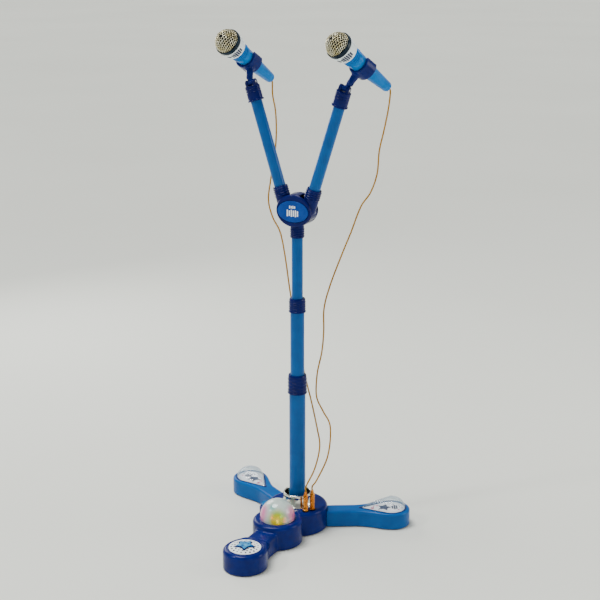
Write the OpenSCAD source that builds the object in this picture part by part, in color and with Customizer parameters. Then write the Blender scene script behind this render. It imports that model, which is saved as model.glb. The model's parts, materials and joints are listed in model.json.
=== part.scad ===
// Toy karaoke stand: a three-footed base with lamp, speaker and sockets, a telescoping pole,
// a Y hub with two swinging arms, and two clipped microphones on cords.
// Frame: +Z up, origin on the floor under the pole, front foot towards -Y. Millimetres.

/* [Base] */
// Height of the hub and of the lamp lobe above the floor
base_h = 50; // [46:1:56]
// Radius of the round hub
hub_r = 62; // [60:1:66]
// Radius of the lamp lobe
lobe_r = 50; // [48:1:54]
// Distance from the pole to the centre of the lamp lobe
lobe_d = 85; // [82:1:90]
// Radius of the front foot
foot_r = 43; // [41:1:46]
// Distance from the pole to the centre of the front foot
foot_d = 215; // [205:1:225]
// Height of the front foot
foot_h = 42; // [40:1:46]
// Width of the neck between the lamp lobe and the front foot
neck_w = 50; // [44:1:56]
// Wall of the moulded shells
wall = 2.4; // [2:0.1:2.8]
// Rounding of the base's top edges
edge = 8; // [5:1:9]

/* [Legs] */
// Direction of each side leg, counted from the sideways direction towards the back
leg_angle = 30; // [26:1:34]
// Half the width of a leg where it leaves the hub
leg_half = 18; // [16:1:20]
// Height of a leg
leg_h = 35; // [33:1:38]
// Radius of the lobe at a leg's end
leg_lobe_r = 37; // [35:1:40]
// Distance from the pole to the centre of a leg's lobe
leg_reach = 196; // [188:1:204]

/* [Lamp, speaker and button] */
// Radius of the clear lamp dome
dome_r = 35; // [33:1:36]
// Radius of the perforated speaker cover
grille_r = 33.5; // [32:0.5:35]
// Radius of the power button's cap
button_r = 12.7; // [11:0.1:13]
// How far the power button travels
button_travel = 2; // [1.5:0.5:2.5]

/* [Pole] */
// Radius of the lower pole tube
lower_r = 16.5; // [16:0.1:17]
// Radius of the middle pole tube
middle_r = 14; // [13.6:0.1:14.2]
// Radius of the upper pole tube
upper_r = 11; // [10.6:0.1:11.4]
// Top of the lower pole's lock collar
lower_lock_top = 329; // [320:1:340]
// Top of the middle pole's lock collar, at full height
middle_lock_top = 488; // [480:1:496]
// Bottom of the hub's socket, at full height
hub_socket_z = 611; // [600:1:620]

/* [Hub and arms] */
// Half the width of the oval hub
oval_a = 37.5; // [36:0.5:40]
// Half the height of the oval hub
oval_b = 32; // [31:0.5:34]
// Height of the oval hub's centre
oval_z = 666; // [664:1:668]
// Half the distance between the two arm pivots
pivot_x = 22; // [21:0.5:23]
// Height of the arm pivots
pivot_z = 660; // [658:1:662]
// Angle of each arm from upright, as stored
arm_angle = 17.7; // [15:0.1:20]
// Distance from an arm's pivot to the top of its end collar
arm_len = 251; // [240:1:260]
// Radius of an arm tube
arm_r = 11.25; // [11:0.05:11.5]

/* [Microphones] */
// Elevation of the left and right microphones' heads
mic_lift = [31, 33.6]; // [25:0.1:40]
// Turn of the left and right microphones about the upright
mic_yaw = [-8, -20]; // [-25:1:0]
// Largest radius of a microphone's band
band_r = 26; // [25:0.5:27]
// Radius of the wire grille's dome
mesh_r = 24; // [23:0.5:24.5]

/* [Cords] */
// Diameter of each microphone cord
cord_d = 3.2; // [2.8:0.1:3.6]

/* [Hidden] */

$fn = 64;
LEFT = -1;
RIGHT = 1;

// Colours
navy = [0.01, 0.09, 0.30];
base_blue = [0.02, 0.13, 0.45];
sky = [0.07, 0.42, 0.68];
tube_blue = [0.09, 0.46, 0.71];
handle_blue = [0.35, 0.66, 0.84];
gold = [0.62, 0.45, 0.18];
board_green = [0.1, 0.35, 0.2];

// Base
floor_gap = 2;                              // the rubber feet lift the shells this far
plate_t = 2.4;                              // thickness of the bottom plates
plate_top = floor_gap + plate_t;
slip = 0.2;                                 // gap between pieces of one body
fit = 0.05;                                 // radial gap of a running fit
clear = 0.3;                                // gap between pieces that move past each other
lobe = [0, -lobe_d];
foot = [0, -foot_d];
button_at = [-46, -43];                     // centre of the small lobe that holds the button
button_lobe_r = 17;
jacks = [[35.5, -31], [43.6, -17.6]];       // left and right microphone sockets
jack_r = 6.4;
jack_bore_r = 3.05;
plug_tip = 36.5;                            // a plug's lower end, the foot of its grip and its top
grip_z = 51.3;
plug_top = 92.4;
grip_r = 5.2;
aux_at = [-46, -14];
aux_bore_r = 1.8;
board_z = 30;
board_t = 1.6;
board_top = board_z + board_t;
switch_top = board_top + 6.2;               // top of the power switch's plunger, up
jack_bore_z = 35;
aux_bore_z = 36;
lamp_board_z = 41;
throat_r = 25.6;                            // hole in the hub's top, under the chrome ring
ring_foot_r = 36;                           // the chrome ring flares from its lip to this foot
ring_lip_r = 28.8;
ring_h = 25;
sleeve_r = 25.4;                            // black sleeve inside the chrome ring
sleeve_bottom = 44;
sleeve_step = 58;
sleeve_top = 68;
boss_r = 20;                                // socket that holds the lower pole
speaker_hole_r = 31;
hole_rings = [[8, 6], [15, 12], [22, 18], [29, 24]];    // rings of sound holes: radius, count
cap_rise = 5;
cap_r = (grille_r * grille_r + cap_rise * cap_rise) / (2 * cap_rise);
cavity_h = base_h - wall;
post_r = 3.6;
screw_r = 1.28;
screw_head_r = 3;
screw_len = 14;
base_posts = [[0, 50], [37, -lobe_d], [-37, -lobe_d], [0, -foot_d - 36]];
door_post = [0, -lobe_d - 36];
battery_r = 7.2;
battery_len = 50;
battery_pitch = 15.4;
battery_z = 13;
box_half = [25, 29.5];                      // half the battery box's inside
door_half = [23, 27];

// Legs
leg_start = hub_r + slip;
flare_from = 120;                           // where a leg starts to widen
leg_posts = [82, 114];
tip_point = 131;                            // pointed end of the teardrop window
drop_r = 29.5;                              // round end of the teardrop window
drop_at = 194.5;
tongue = [14, 22, 18];

// Pole
tube_wall = 1.8;
pole_bottom = 5;
lower_top = 300;
middle_bottom = 120;
middle_top = 468;
upper_bottom = 250;
upper_top = 632;
lower_lock_z = 290;
middle_lock_z = 460;

// Hub and arms
half_depth = 18.5;                          // the hub's half thickness
face_t = 3.5;                               // thickness of each shell's face
face_y = half_depth - face_t;
drum_r = 14.8;
drum_half = 13.9;                           // half the drum's thickness
socket_r = 14.5;
socket_len = 52;
seat = 18;                                  // where an arm tube starts in its socket
pin_r = 3;
swing = [4.2, 67.2];                        // directions that an arm's socket sweeps
hub_posts = [646, 687];
badge_a = 33.4;                             // half the badge's width and half its height
badge_b = 21;
badge_z = oval_z - 1;
collar_len = 30;
collar_r = 14.6;
collar_lip_r = 16;
ear_r = 6;
eye_r = 5.4;                                // the clip's eye, between the collar's ears
hinge_up = 6;                               // the clip's pin above its collar
ear_in = 5.2;
ear_out = 11;
clip_pin_r = 2.5;
hinge_reach = arm_len + hinge_up;
hinge_at = [pivot_x + hinge_reach * sin(arm_angle), 0, pivot_z + hinge_reach * cos(arm_angle)];

// Microphones, measured along each from the centre of its clip towards its head
clip_at = [122, 30, 944];
tail_z = -82;
neck_z = 28;
band_z = 46;
rim_z = 69.6;
rim_up = 2;                                 // how far the rim stands up round the foot of the mesh
mesh_z = 76;
clip_in = 17.5;
clip_out = 22;
stem_r = [2.9, 6.2, 7.6];                   // the clip's stem at its eye, at its bend and at its ring
stem_bend = 14;                             // from the hinge to the bend
stem_lap = 2;                               // how far the stem's two rods reach into each other
clip_half = 14;
clip_open = 55;                             // half of the gap in the clip's ring, in degrees

// Cord routes, from each microphone's tail down to its plug
cord_left_route = [
    [-112, 101, 901], [-113, 106, 895], [-114, 109, 868], [-109, 111, 838], [-107, 111, 798],
    [-109, 109, 757], [-117, 104, 696], [-119, 98, 655], [-106, 92, 622], [-84, 84, 594],
    [-67, 74, 545], [-54, 66, 491], [-39, 58, 432], [-23, 50, 373], [-5, 42, 313],
    [13, 36, 262], [30, 28, 212], [43, 16, 176], [43, -5, 136], [37, -28, 108],
    [35.5, -31, 100], [35.5, -31, 93],
];
cord_right_route = [
    [146, 95, 898], [148, 99, 891], [144, 101, 859], [136, 100, 817], [128, 97, 776],
    [126, 93, 732], [115, 88, 695], [96, 84, 665], [79, 76, 613], [63, 70, 569],
    [43, 60, 507], [33, 52, 458], [36, 45, 412], [35, 39, 370], [28, 33, 325],
    [29, 28, 278], [46, 24, 250], [65, 19, 222], [67, 6, 165], [53, -12, 118],
    [43.8, -17.5, 101], [43.6, -17.6, 93],
];

// ---------- shared shapes ----------

// A round block with a rounded top edge, standing on z
module puck(r, z, top, round) {
    h = top - z;
    translate([0, 0, z]) rotate_extrude() {
        square([r, h - round]);
        square([r - round, h]);
        translate([r - round, h - round]) intersection() {
            circle(round, $fn = 48);
            square(round + 1);
        }
    }
}

// A straight bar of rounded section from the lamp lobe to the front foot
module neck(w, z, top, round) {
    h = top - z;
    translate([0, -lobe_d, z]) rotate([90, 0, 0]) linear_extrude(foot_d - lobe_d) {
        translate([-w / 2, 0]) square([w, h - round]);
        translate([round - w / 2, 0]) square([w - 2 * round, h]);
        for (side = [LEFT, RIGHT])
            translate([side * (w / 2 - round), h - round]) circle(round, $fn = 48);
    }
}

// The base's body, with every wall moved inwards by inset
module base_form(inset, z) {
    round = edge - inset * 0.8;
    puck(hub_r - inset, z, base_h - inset, round);
    translate(lobe) puck(lobe_r - inset, z, base_h - inset, round);
    translate(foot) puck(foot_r - inset, z, foot_h - inset, round);
    translate(button_at) puck(button_lobe_r - inset, z, base_h - inset, 4);
    neck(neck_w - 2 * inset, z, foot_h - 3 - inset, round);
}

// The base's outline as a plate that fits inside the walls
module base_plate(inset, z, t) {
    translate([0, 0, z]) linear_extrude(t) {
        circle(hub_r - inset);
        translate(lobe) circle(lobe_r - inset);
        translate(foot) circle(foot_r - inset);
        translate(button_at) circle(button_lobe_r - inset);
        translate([inset - neck_w / 2, -foot_d]) square([neck_w - 2 * inset, foot_d - lobe_d]);
    }
}

module tube(r, inner, z, top) {
    difference() {
        translate([0, 0, z]) cylinder(r = r, h = top - z);
        translate([0, 0, z - 1]) cylinder(r = inner, h = top - z + 2);
    }
}

// A rod between two points, narrowing or widening on the way
module rod(a, b, r1, r2) {
    d = b - a;
    long = norm(d);
    translate(a) rotate([0, acos(d.z / long), atan2(d.y, d.x)]) cylinder(r1 = r1, r2 = r2, h = long);
}

// A hanging screw post with its blind hole
module post(at, z, top) {
    translate([at.x, at.y, z]) difference() {
        cylinder(r = post_r, h = top - z, $fn = 32);
        translate([0, 0, -1]) cylinder(r = screw_r + fit, h = screw_len, $fn = 24);
    }
}

// The hole for a screw and its head in a bottom plate
module screw_hole(at) {
    translate([at.x, at.y, floor_gap - 1]) {
        cylinder(r = screw_head_r + slip, h = 2.6, $fn = 32);
        cylinder(r = screw_r + slip, h = plate_t + 2, $fn = 24);
    }
}

module screw(at) {
    translate([at.x, at.y, floor_gap + 0.1]) {
        cylinder(r = screw_head_r, h = 1.4, $fn = 32);
        cylinder(r = screw_r, h = screw_len - 1, $fn = 24);
    }
}

// ---------- base ----------

module base_shell_top() {
    color(base_blue) {
        difference() {
            base_form(0, floor_gap);
            base_form(wall, floor_gap - 1);
            translate([0, 0, base_h - 10]) cylinder(r = throat_r, h = 20);
            translate([0, -lobe_d, base_h - 10]) cylinder(r = dome_r - 3, h = 20);
            translate([0, -foot_d, foot_h - 10]) cylinder(r = speaker_hole_r, h = 20);
            translate([button_at.x, button_at.y, base_h - 10]) cylinder(r = button_r + clear, h = 20);
            translate([aux_at.x, aux_at.y, base_h - 10]) cylinder(r = 5.2, h = 20);
            for (at = jacks) translate([at.x, at.y, base_h - 10]) cylinder(r = jack_r + slip, h = 20);
            for (side = [LEFT, RIGHT]) leg_turn(side)
                translate([40, -tongue.y / 2 - slip, 7.8])
                    cube([40, tongue.y + 2 * slip, tongue.z + 2 * slip]);
        }
        for (at = base_posts)
            post(at, plate_top, at == base_posts[3] ? foot_h - wall : cavity_h);
    }
}

module base_shell_bottom() {
    inset = wall + slip;
    color(navy) {
        difference() {
            base_plate(inset, floor_gap, plate_t);
            translate([-door_half.x - slip, -lobe_d - door_half.y - slip, 0])
                cube([2 * (door_half.x + slip), 2 * (door_half.y + slip), 10]);
            for (at = base_posts) screw_hole(at);
            translate([door_post.x, door_post.y, 0]) cylinder(r = screw_r + slip, h = 10, $fn = 24);
        }
        difference() {
            translate([0, 0, plate_top]) cylinder(r = boss_r, h = 39);
            translate([0, 0, pole_bottom - slip]) cylinder(r = lower_r + fit, h = 60);
        }
        difference() {
            translate([-box_half.x - 1.5, -lobe_d - box_half.y - 1.5, plate_top])
                cube([2 * box_half.x + 3, 2 * box_half.y + 3, 16]);
            translate([-box_half.x, -lobe_d - box_half.y, 0])
                cube([2 * box_half.x, 2 * box_half.y, 40]);
        }
        post(door_post, plate_top, 18);
    }
}

module battery_door() {
    color(navy) difference() {
        union() {
            translate([-door_half.x, -lobe_d - door_half.y, floor_gap])
                cube([2 * door_half.x, 2 * door_half.y, plate_t - 0.2]);
            translate([-6, door_post.y - 6, floor_gap - 1.2]) cube([12, 30, 1.2]);
        }
        translate([door_post.x, door_post.y, 0]) cylinder(r = screw_r + slip, h = 10, $fn = 24);
        translate([-8, -lobe_d - 2, floor_gap - 3]) cube([16, 4, 3.8]);
    }
}

module rubber_feet() {
    color([0.08, 0.08, 0.09]) {
        cylinder(r = 14, h = floor_gap);
        translate(foot) cylinder(r = 14, h = floor_gap);
        for (side = [LEFT, RIGHT]) leg_turn(side) translate([leg_reach, 0]) cylinder(r = 12, h = floor_gap);
    }
}

module base_screws() {
    color([0.6, 0.6, 0.62]) {
        for (at = base_posts) screw(at);
        for (side = [LEFT, RIGHT]) leg_turn(side) for (r = leg_posts) screw([r, 0]);
        translate([door_post.x, door_post.y, 0.1]) {
            cylinder(r = screw_head_r, h = 0.65, $fn = 32);
            cylinder(r = screw_r, h = screw_len, $fn = 24);
        }
    }
}

module batteries() {
    color([0.75, 0.62, 0.2]) for (k = [-1:1])
        translate([k * battery_pitch, battery_len / 2 - lobe_d, battery_z]) rotate([90, 0, 0]) {
            cylinder(r = battery_r, h = battery_len - 1);
            translate([0, 0, battery_len - 2]) cylinder(r = 2.6, h = 2, $fn = 24);
        }
}

module battery_contacts() {
    color([0.75, 0.75, 0.72]) for (k = [-1:1], end = [-1, 1])
        translate([k * battery_pitch - 5, end * (battery_len / 2 + 2.4) - lobe_d - 0.4, battery_z - 6]) {
            cube([10, 0.8, 12]);
            translate([5, 0.4, 6]) rotate([end * 90, 0, 0]) cylinder(r1 = 4, r2 = 2.5, h = 2.1, $fn = 24);
        }
}

// The board carries the power switch, which is soldered to it
module main_board() {
    color(board_green) translate([button_at.x, button_at.y, board_top]) {
        translate([-3, -3, 0]) cube([6, 6, 4.6]);
        cylinder(r = 1.7, h = switch_top - board_top, $fn = 24);
    }
    color(board_green) difference() {
        translate([0, 0, board_z]) linear_extrude(board_t) difference() {
            union() {
                circle(hub_r - wall - 2);
                translate(button_at) circle(button_lobe_r - wall - 1);
            }
            circle(boss_r + 1);
            translate([0, -80]) square([120, 60], center = true);
        }
        translate([0, 50, 0]) cylinder(r = post_r + 0.6, h = 60);
        for (at = jacks) translate([at.x, at.y, 0]) cylinder(r = 2, h = 60, $fn = 24);
    }
}

module jack_sockets() {
    color([0.1, 0.1, 0.11]) for (at = jacks) translate([at.x, at.y, 0]) difference() {
        union() {
            translate([0, 0, board_top]) cylinder(r = jack_r, h = base_h + 0.6 - board_top);
            translate([0, 0, base_h]) cylinder(r = jack_r + 0.6, h = 1);
        }
        translate([0, 0, jack_bore_z]) cylinder(r = jack_bore_r, h = 30);
    }
}

module aux_socket() {
    color([0.1, 0.1, 0.11]) translate([aux_at.x, aux_at.y, 0]) difference() {
        union() {
            translate([0, 0, board_top]) cylinder(r = 4.9, h = base_h - board_top);
            translate([0, -2.6, base_h]) cylinder(r = 5.6, h = 0.9);
            translate([0, 2.6, base_h]) cylinder(r = 5.6, h = 0.9);
        }
        translate([0, 0, aux_bore_z]) cylinder(r = aux_bore_r, h = 30);
    }
}

module light_board() {
    color(board_green) translate([0, -lobe_d, lamp_board_z]) difference() {
        cylinder(r = 32, h = board_t);
        translate([0, 0, -1]) cylinder(r = 2, h = 5, $fn = 24);
    }
}

// A round lamp on its two stiff legs is one solid here
module lamp(at, tall) {
    translate([at.x, at.y - lobe_d, lamp_board_z + board_t]) {
        cylinder(r = 3.2, h = tall);
        translate([0, 0, tall]) sphere(r = 2.9);
    }
}

module lamps() {
    color([0.95, 0.9, 0.4]) {
        lamp([0, -12], 8);
        lamp([-15, 3], 8);
        lamp([15, 3], 8);
        lamp([0, 14], 8);
    }
}

module light_dome() {
    rise = 5;
    color([0.85, 0.92, 0.92, 0.5]) translate([0, -lobe_d, base_h]) {
        difference() {
            union() {
                cylinder(r = dome_r, h = rise);
                translate([0, 0, rise]) sphere(r = dome_r, $fn = 96);
            }
            translate([0, 0, -60]) cylinder(r = 60, h = 60);
            translate([0, 0, rise]) sphere(r = dome_r - 1.6, $fn = 96);
            translate([0, 0, -1]) cylinder(r = dome_r - 1.6, h = rise + 1);
        }
        tube(dome_r - 1.6, dome_r - 4.6, 0, 1.5);
        tube(dome_r - 3.2, dome_r - 4.6, -4, 0);
    }
}

module speaker_driver() {
    color([0.2, 0.2, 0.22]) translate([0, -foot_d, 0]) rotate_extrude()
        polygon([[0, 10], [13, 10], [13, 19], [17, 20], [28, 32], [30, 32], [30, 34], [26, 34],
                 [9, 24], [0, 24]]);
}

module speaker_grille() {
    color([0.93, 0.94, 0.94]) translate([0, -foot_d, foot_h]) difference() {
        union() {
            intersection() {
                translate([0, 0, cap_rise - cap_r]) difference() {
                    sphere(r = cap_r);
                    sphere(r = cap_r - 1.8);
                }
                cylinder(r = grille_r, h = 20);
            }
            tube(grille_r, grille_r - 4, 0, 1);
            tube(speaker_hole_r - slip, speaker_hole_r - 2, -4, 0.5);
        }
        for (ring = hole_rings, k = [0:ring[1] - 1])
            rotate(360 * k / ring[1]) translate([ring[0], 0, -1]) cylinder(r = 1.3, h = 20, $fn = 16);
    }
}

module star_badge() {
    outer = 19;
    inner = 10;
    color([0.33, 0.57, 0.75]) translate([0, -foot_d, foot_h]) difference() {
        translate([0, 0, cap_rise - 2.2]) linear_extrude(3.4)
            polygon([for (k = [0:9]) let (r = k % 2 == 0 ? outer : inner) r * [sin(36 * k), cos(36 * k)]]);
        translate([0, 0, cap_rise - cap_r]) sphere(r = cap_r + clear);
    }
}

module collar_ring() {
    top = base_h + ring_h;
    bore = sleeve_r + slip;
    color([0.75, 0.74, 0.7]) rotate_extrude($fn = 96)
        polygon([[bore, base_h], [ring_foot_r, base_h], [ring_foot_r, base_h + 1.4],
                 for (k = [1:5]) [ring_lip_r + (ring_foot_r - ring_lip_r - 1) * pow(1 - k / 5, 2),
                                  base_h + 1.4 + 0.13 * k * ring_h],
                 [ring_lip_r + 0.5, top - 4], [ring_lip_r - 0.2, top - 1], [ring_lip_r - 1.2, top],
                 [bore + 0.8, top], [bore, top - 1]]);
}

module ring_sleeve() {
    inner = lower_r + slip / 2;
    color([0.05, 0.05, 0.06]) rotate_extrude()
        polygon([[inner, sleeve_bottom], [sleeve_r, sleeve_bottom], [sleeve_r, sleeve_top],
                 [sleeve_r - 1.8, sleeve_top], [inner + 2, sleeve_step], [inner, sleeve_step]]);
}

module lower_pole() {
    color(tube_blue) tube(lower_r, lower_r - tube_wall, pole_bottom, lower_top);
}

// A lock collar: it grips the tube below and guides the tube above
module lock(r, below, above, z, step, top) {
    difference() {
        union() {
            translate([0, 0, z]) cylinder(r = r, h = top - z);
            for (k = [1:4]) translate([0, 0, z + k * (top - z) / 5 - 1]) cylinder(r = r + 0.7, h = 2);
        }
        translate([0, 0, z - 1]) cylinder(r = below + fit, h = step - z + 1);
        translate([0, 0, z]) cylinder(r = above + fit, h = top - z + 1);
    }
}

module lower_lock() {
    color(navy) lock(18.6, lower_r, middle_r, lower_lock_z, lower_top + slip, lower_lock_top);
}

// ---------- legs ----------

module leg_turn(side) {
    rotate(side == RIGHT ? leg_angle : 180 - leg_angle) children();
}

function ease(t) = let (c = min(1, max(0, t))) c * c * (3 - 2 * c);
function leg_width(r) =
    leg_half + (leg_lobe_r - leg_half) * ease((r - flare_from) / (leg_reach - flare_from));

// A leg's outline from above: two flaring edges and a round end
module leg_outline(inset) {
    one = [for (r = [leg_start - 12, each [flare_from:8:leg_reach - 4]]) [r, leg_width(r) - inset]];
    round_end = [for (a = [90:-7.5:-90]) [leg_reach, 0] + (leg_lobe_r - inset) * [cos(a), sin(a)]];
    back = [for (k = [len(one) - 1:-1:0]) [one[k].x, -one[k].y]];
    polygon(concat(one, round_end, back));
}

module drop_outline(inset) {
    reach = drop_at - tip_point - 1.6 * inset;
    r = drop_r - inset;
    lean = asin(r / reach);
    polygon(concat([[drop_at - reach, 0]],
        [for (a = [-90 - lean:(180 + 2 * lean) / 28:90.01 + lean]) [drop_at, 0] + r * [cos(a), sin(a)]]));
}

module leg_shell(side) {
    color(sky) leg_turn(side) {
        difference() {
            union() {
                translate([0, 0, floor_gap]) linear_extrude(leg_h - floor_gap - 1.5) leg_outline(0);
                translate([0, 0, leg_h - 2]) linear_extrude(2) leg_outline(1.5);
            }
            translate([0, 0, floor_gap - 1]) linear_extrude(leg_h - floor_gap - wall + 1) leg_outline(wall);
            translate([0, 0, leg_h - 10]) linear_extrude(20) drop_outline(2);
            cylinder(r = leg_start, h = 60);
        }
        for (r = leg_posts) post([r, 0], plate_top, leg_h - wall);
        translate([hub_r - 12, -tongue.y / 2, 8]) cube(tongue);
        translate([leg_start + slip, 1 - leg_half, plate_top + slip])
            cube([2.6, 2 * leg_half - 2, leg_h - plate_top - wall]);
    }
}

module leg_left_shell() leg_shell(LEFT);
module leg_right_shell() leg_shell(RIGHT);

module leg_floors() {
    color(navy) for (side = [LEFT, RIGHT]) leg_turn(side) difference() {
        translate([0, 0, floor_gap]) linear_extrude(plate_t) leg_outline(wall + slip);
        cylinder(r = leg_start + wall, h = 60);
        for (r = leg_posts) screw_hole([r, 0]);
    }
}

module leg_cards() {
    color("white") for (side = [LEFT, RIGHT]) leg_turn(side)
        translate([0, 0, leg_h - 1.2]) linear_extrude(1) drop_outline(2.4);
}

// A clear shell over the teardrop, highest above its round end
module leg_window(side) {
    rise = 23;
    color([0.85, 0.92, 0.95, 0.4]) leg_turn(side) translate([0, 0, leg_h]) difference() {
        drop_dome(0, rise);
        drop_dome(1.8, rise - 1.8);
    }
}

module drop_dome(inset, rise) {
    intersection() {
        hull() {
            translate([drop_at, 0, 0]) scale([1, 1, rise / (drop_r - inset)])
                sphere(r = drop_r - inset, $fn = 32);
            translate([tip_point + 1.6 * inset, 0, 0]) cylinder(r = 0.4, h = 0.4, $fn = 12);
        }
        translate([100, -50, inset == 0 ? 0 : -1]) cube([150, 100, 60]);
    }
}

module leg_left_window() leg_window(LEFT);
module leg_right_window() leg_window(RIGHT);

// ---------- button and plugs ----------

module power_button() {
    flange_top = 43.3;
    stem_z = switch_top + button_travel + 0.4;
    color(handle_blue) translate([button_at.x, button_at.y, 0]) {
        puck(button_r, flange_top - 0.5, base_h + 5, 2.5);
        translate([0, 0, flange_top - 2]) cylinder(r = button_r + 1.1, h = 2);
        translate([0, 0, stem_z]) cylinder(r = 4, h = 42 - stem_z);
    }
}

// The grip is ribbed, and the sleeve at its top lets the cord out
module plug(at) {
    color(gold) translate([at.x, at.y, 0]) rotate_extrude()
        polygon([[0, plug_tip], [2.2, plug_tip], [pin_r, plug_tip + 1.5], [pin_r, grip_z], [grip_r, grip_z],
                 [grip_r, grip_z + 9], [grip_r - 0.6, grip_z + 10], [grip_r, grip_z + 11],
                 [grip_r, plug_top - 10], [4, plug_top - 7], [2.6, plug_top], [0, plug_top]]);
}

module plug_left() plug(jacks[0]);
module plug_right() plug(jacks[1]);

// ---------- pole ----------

module middle_pole() {
    color(tube_blue) tube(middle_r, middle_r - tube_wall, middle_bottom, middle_top);
}

module middle_lock() {
    color(navy) lock(16.2, middle_r, upper_r, middle_lock_z, middle_top + slip, middle_lock_top);
}

module upper_pole() {
    color(tube_blue) tube(upper_r, upper_r - tube_wall, upper_bottom, upper_top);
}

// ---------- hub ----------

module hub_socket() {
    color(navy) difference() {
        union() {
            translate([0, 0, hub_socket_z]) cylinder(r = 13.6, h = 29);
            for (k = [0:2]) translate([0, 0, hub_socket_z + 2 + 6.5 * k]) cylinder(r = 14.3, h = 3.4);
        }
        translate([0, 0, hub_socket_z - 1])
            cylinder(r = upper_r + fit, h = upper_top + slip - hub_socket_z + 1);
    }
}

module oval(a, b) {
    polygon([for (k = [0:71]) [a * cos(5 * k), b * sin(5 * k)]]);
}

// Draws in the upright plane and gives the shape a thickness from y to y + t
module upright(y, t) {
    translate([0, y + t, 0]) rotate([90, 0, 0]) linear_extrude(t) children();
}

// What one arm's socket and drum sweep, as an outline in the upright plane
module swept(side) {
    half = socket_r + 0.5;
    far = 60;
    inner = [sin(swing[0]), cos(swing[0])];
    outer = [sin(swing[1]), cos(swing[1])];
    a = [-inner.y, inner.x] * half;
    b = [outer.y, -outer.x] * half;
    mirror([side == LEFT ? 1 : 0, 0]) translate([pivot_x, pivot_z]) {
        circle(drum_r + 0.5);
        polygon([a, a + inner * far, (inner + outer) * far, b + outer * far, b, [0, 0]]);
    }
}

// Front half of the hub; the rear half is the same, turned round
module hub_half() {
    difference() {
        union() {
            upright(-half_depth, 1.6) translate([0, oval_z]) oval(oval_a - 1.8, oval_b - 1.8);
            upright(1.5 - half_depth, face_t - 1.5) translate([0, oval_z]) oval(oval_a, oval_b);
            upright(-face_y - 0.1, face_y) difference() {
                translate([0, oval_z]) oval(oval_a, oval_b);
                translate([0, oval_z]) oval(oval_a - 3, oval_b - 3);
                swept(LEFT);
                swept(RIGHT);
            }
            for (z = hub_posts) translate([0, -0.1, z]) rotate([90, 0, 0])
                cylinder(r = post_r, h = face_y, $fn = 32);
        }
        cylinder(r = 14.4, h = 641);
        for (side = [LEFT, RIGHT]) translate([side * pivot_x, 0, pivot_z]) rotate([90, 0, 0])
            cylinder(r = pin_r + fit, h = face_y + 2);
    }
}

module hub_front_shell() {
    color(navy) difference() {
        hub_half();
        for (z = hub_posts) translate([0, 1, z]) rotate([90, 0, 0])
            cylinder(r = screw_r + fit, h = 12, $fn = 24);
    }
}

module hub_rear_shell() {
    color(navy) difference() {
        rotate(180) hub_half();
        for (z = hub_posts) translate([0, half_depth + 1, z]) rotate([90, 0, 0]) {
            cylinder(r = screw_r + slip, h = 30, $fn = 24);
            cylinder(r = screw_head_r + slip, h = 3.4, $fn = 32);
        }
    }
}

module hub_badge() {
    color([0.21, 0.45, 0.68]) {
        upright(-half_depth - 0.9, 0.9) translate([0, badge_z]) oval(badge_a, badge_b);
        upright(-half_depth - 1.4, 0.6) translate([0, badge_z]) oval(badge_a - 1.4, badge_b - 1.4);
    }
}

module hub_screws() {
    color([0.6, 0.6, 0.62]) for (z = hub_posts) translate([0, half_depth - 0.8, z]) rotate([90, 0, 0]) {
        cylinder(r = screw_head_r, h = 1.4, $fn = 32);
        cylinder(r = screw_r, h = 24, $fn = 24);
    }
}

module arm_pins() {
    color([0.65, 0.66, 0.68]) for (side = [LEFT, RIGHT])
        translate([side * pivot_x, face_y + 1.6, pivot_z]) rotate([90, 0, 0])
            cylinder(r = pin_r, h = 2 * face_y + 3.2);
}

// ---------- arms ----------

module arm_turn(side) {
    translate([side * pivot_x, 0, pivot_z]) rotate([0, side * arm_angle, 0]) children();
}

module arm_socket(side) {
    color(navy) arm_turn(side) difference() {
        union() {
            translate([0, drum_half, 0]) rotate([90, 0, 0]) cylinder(r = drum_r, h = 2 * drum_half);
            translate([0, 0, 6]) cylinder(r = socket_r, h = socket_len - 6);
        }
        translate([0, 30, 0]) rotate([90, 0, 0]) cylinder(r = pin_r + fit, h = 60);
        translate([0, 0, seat - slip]) cylinder(r = arm_r + fit, h = socket_len);
    }
}

module arm_left_socket() arm_socket(LEFT);
module arm_right_socket() arm_socket(RIGHT);

module arm_tube(side) {
    color(tube_blue) arm_turn(side) tube(arm_r, arm_r - tube_wall, seat, arm_len - 6);
}

module arm_left_tube() arm_tube(LEFT);
module arm_right_tube() arm_tube(RIGHT);

// The collar's two ears carry the clip's hinge pin
module arm_collar(side) {
    z = arm_len - collar_len;
    color(navy) arm_turn(side) difference() {
        union() {
            translate([0, 0, z]) cylinder(r = collar_r, h = collar_len);
            translate([0, 0, z]) cylinder(r = collar_lip_r, h = 3);
            for (flip = [0, 1]) mirror([flip, 0, 0]) translate([ear_in, 0, arm_len]) {
                translate([0, -ear_r, -1]) cube([ear_out - ear_in, 2 * ear_r, 1 + hinge_up]);
                translate([0, 0, hinge_up]) rotate([0, 90, 0]) cylinder(r = ear_r, h = ear_out - ear_in);
            }
        }
        translate([0, 0, z - 1]) cylinder(r = arm_r + fit, h = collar_len - 5 + slip);
        translate([-20, 0, arm_len + hinge_up]) rotate([0, 90, 0]) cylinder(r = clip_pin_r + fit, h = 40);
    }
}

module arm_left_collar() arm_collar(LEFT);
module arm_right_collar() arm_collar(RIGHT);

module clip_pin(side) {
    color([0.65, 0.66, 0.68]) arm_turn(side) translate([-ear_out, 0, arm_len + hinge_up])
        rotate([0, 90, 0]) cylinder(r = clip_pin_r, h = 2 * ear_out);
}

module clip_pin_left() clip_pin(LEFT);
module clip_pin_right() clip_pin(RIGHT);

// ---------- clips and microphones ----------

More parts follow.
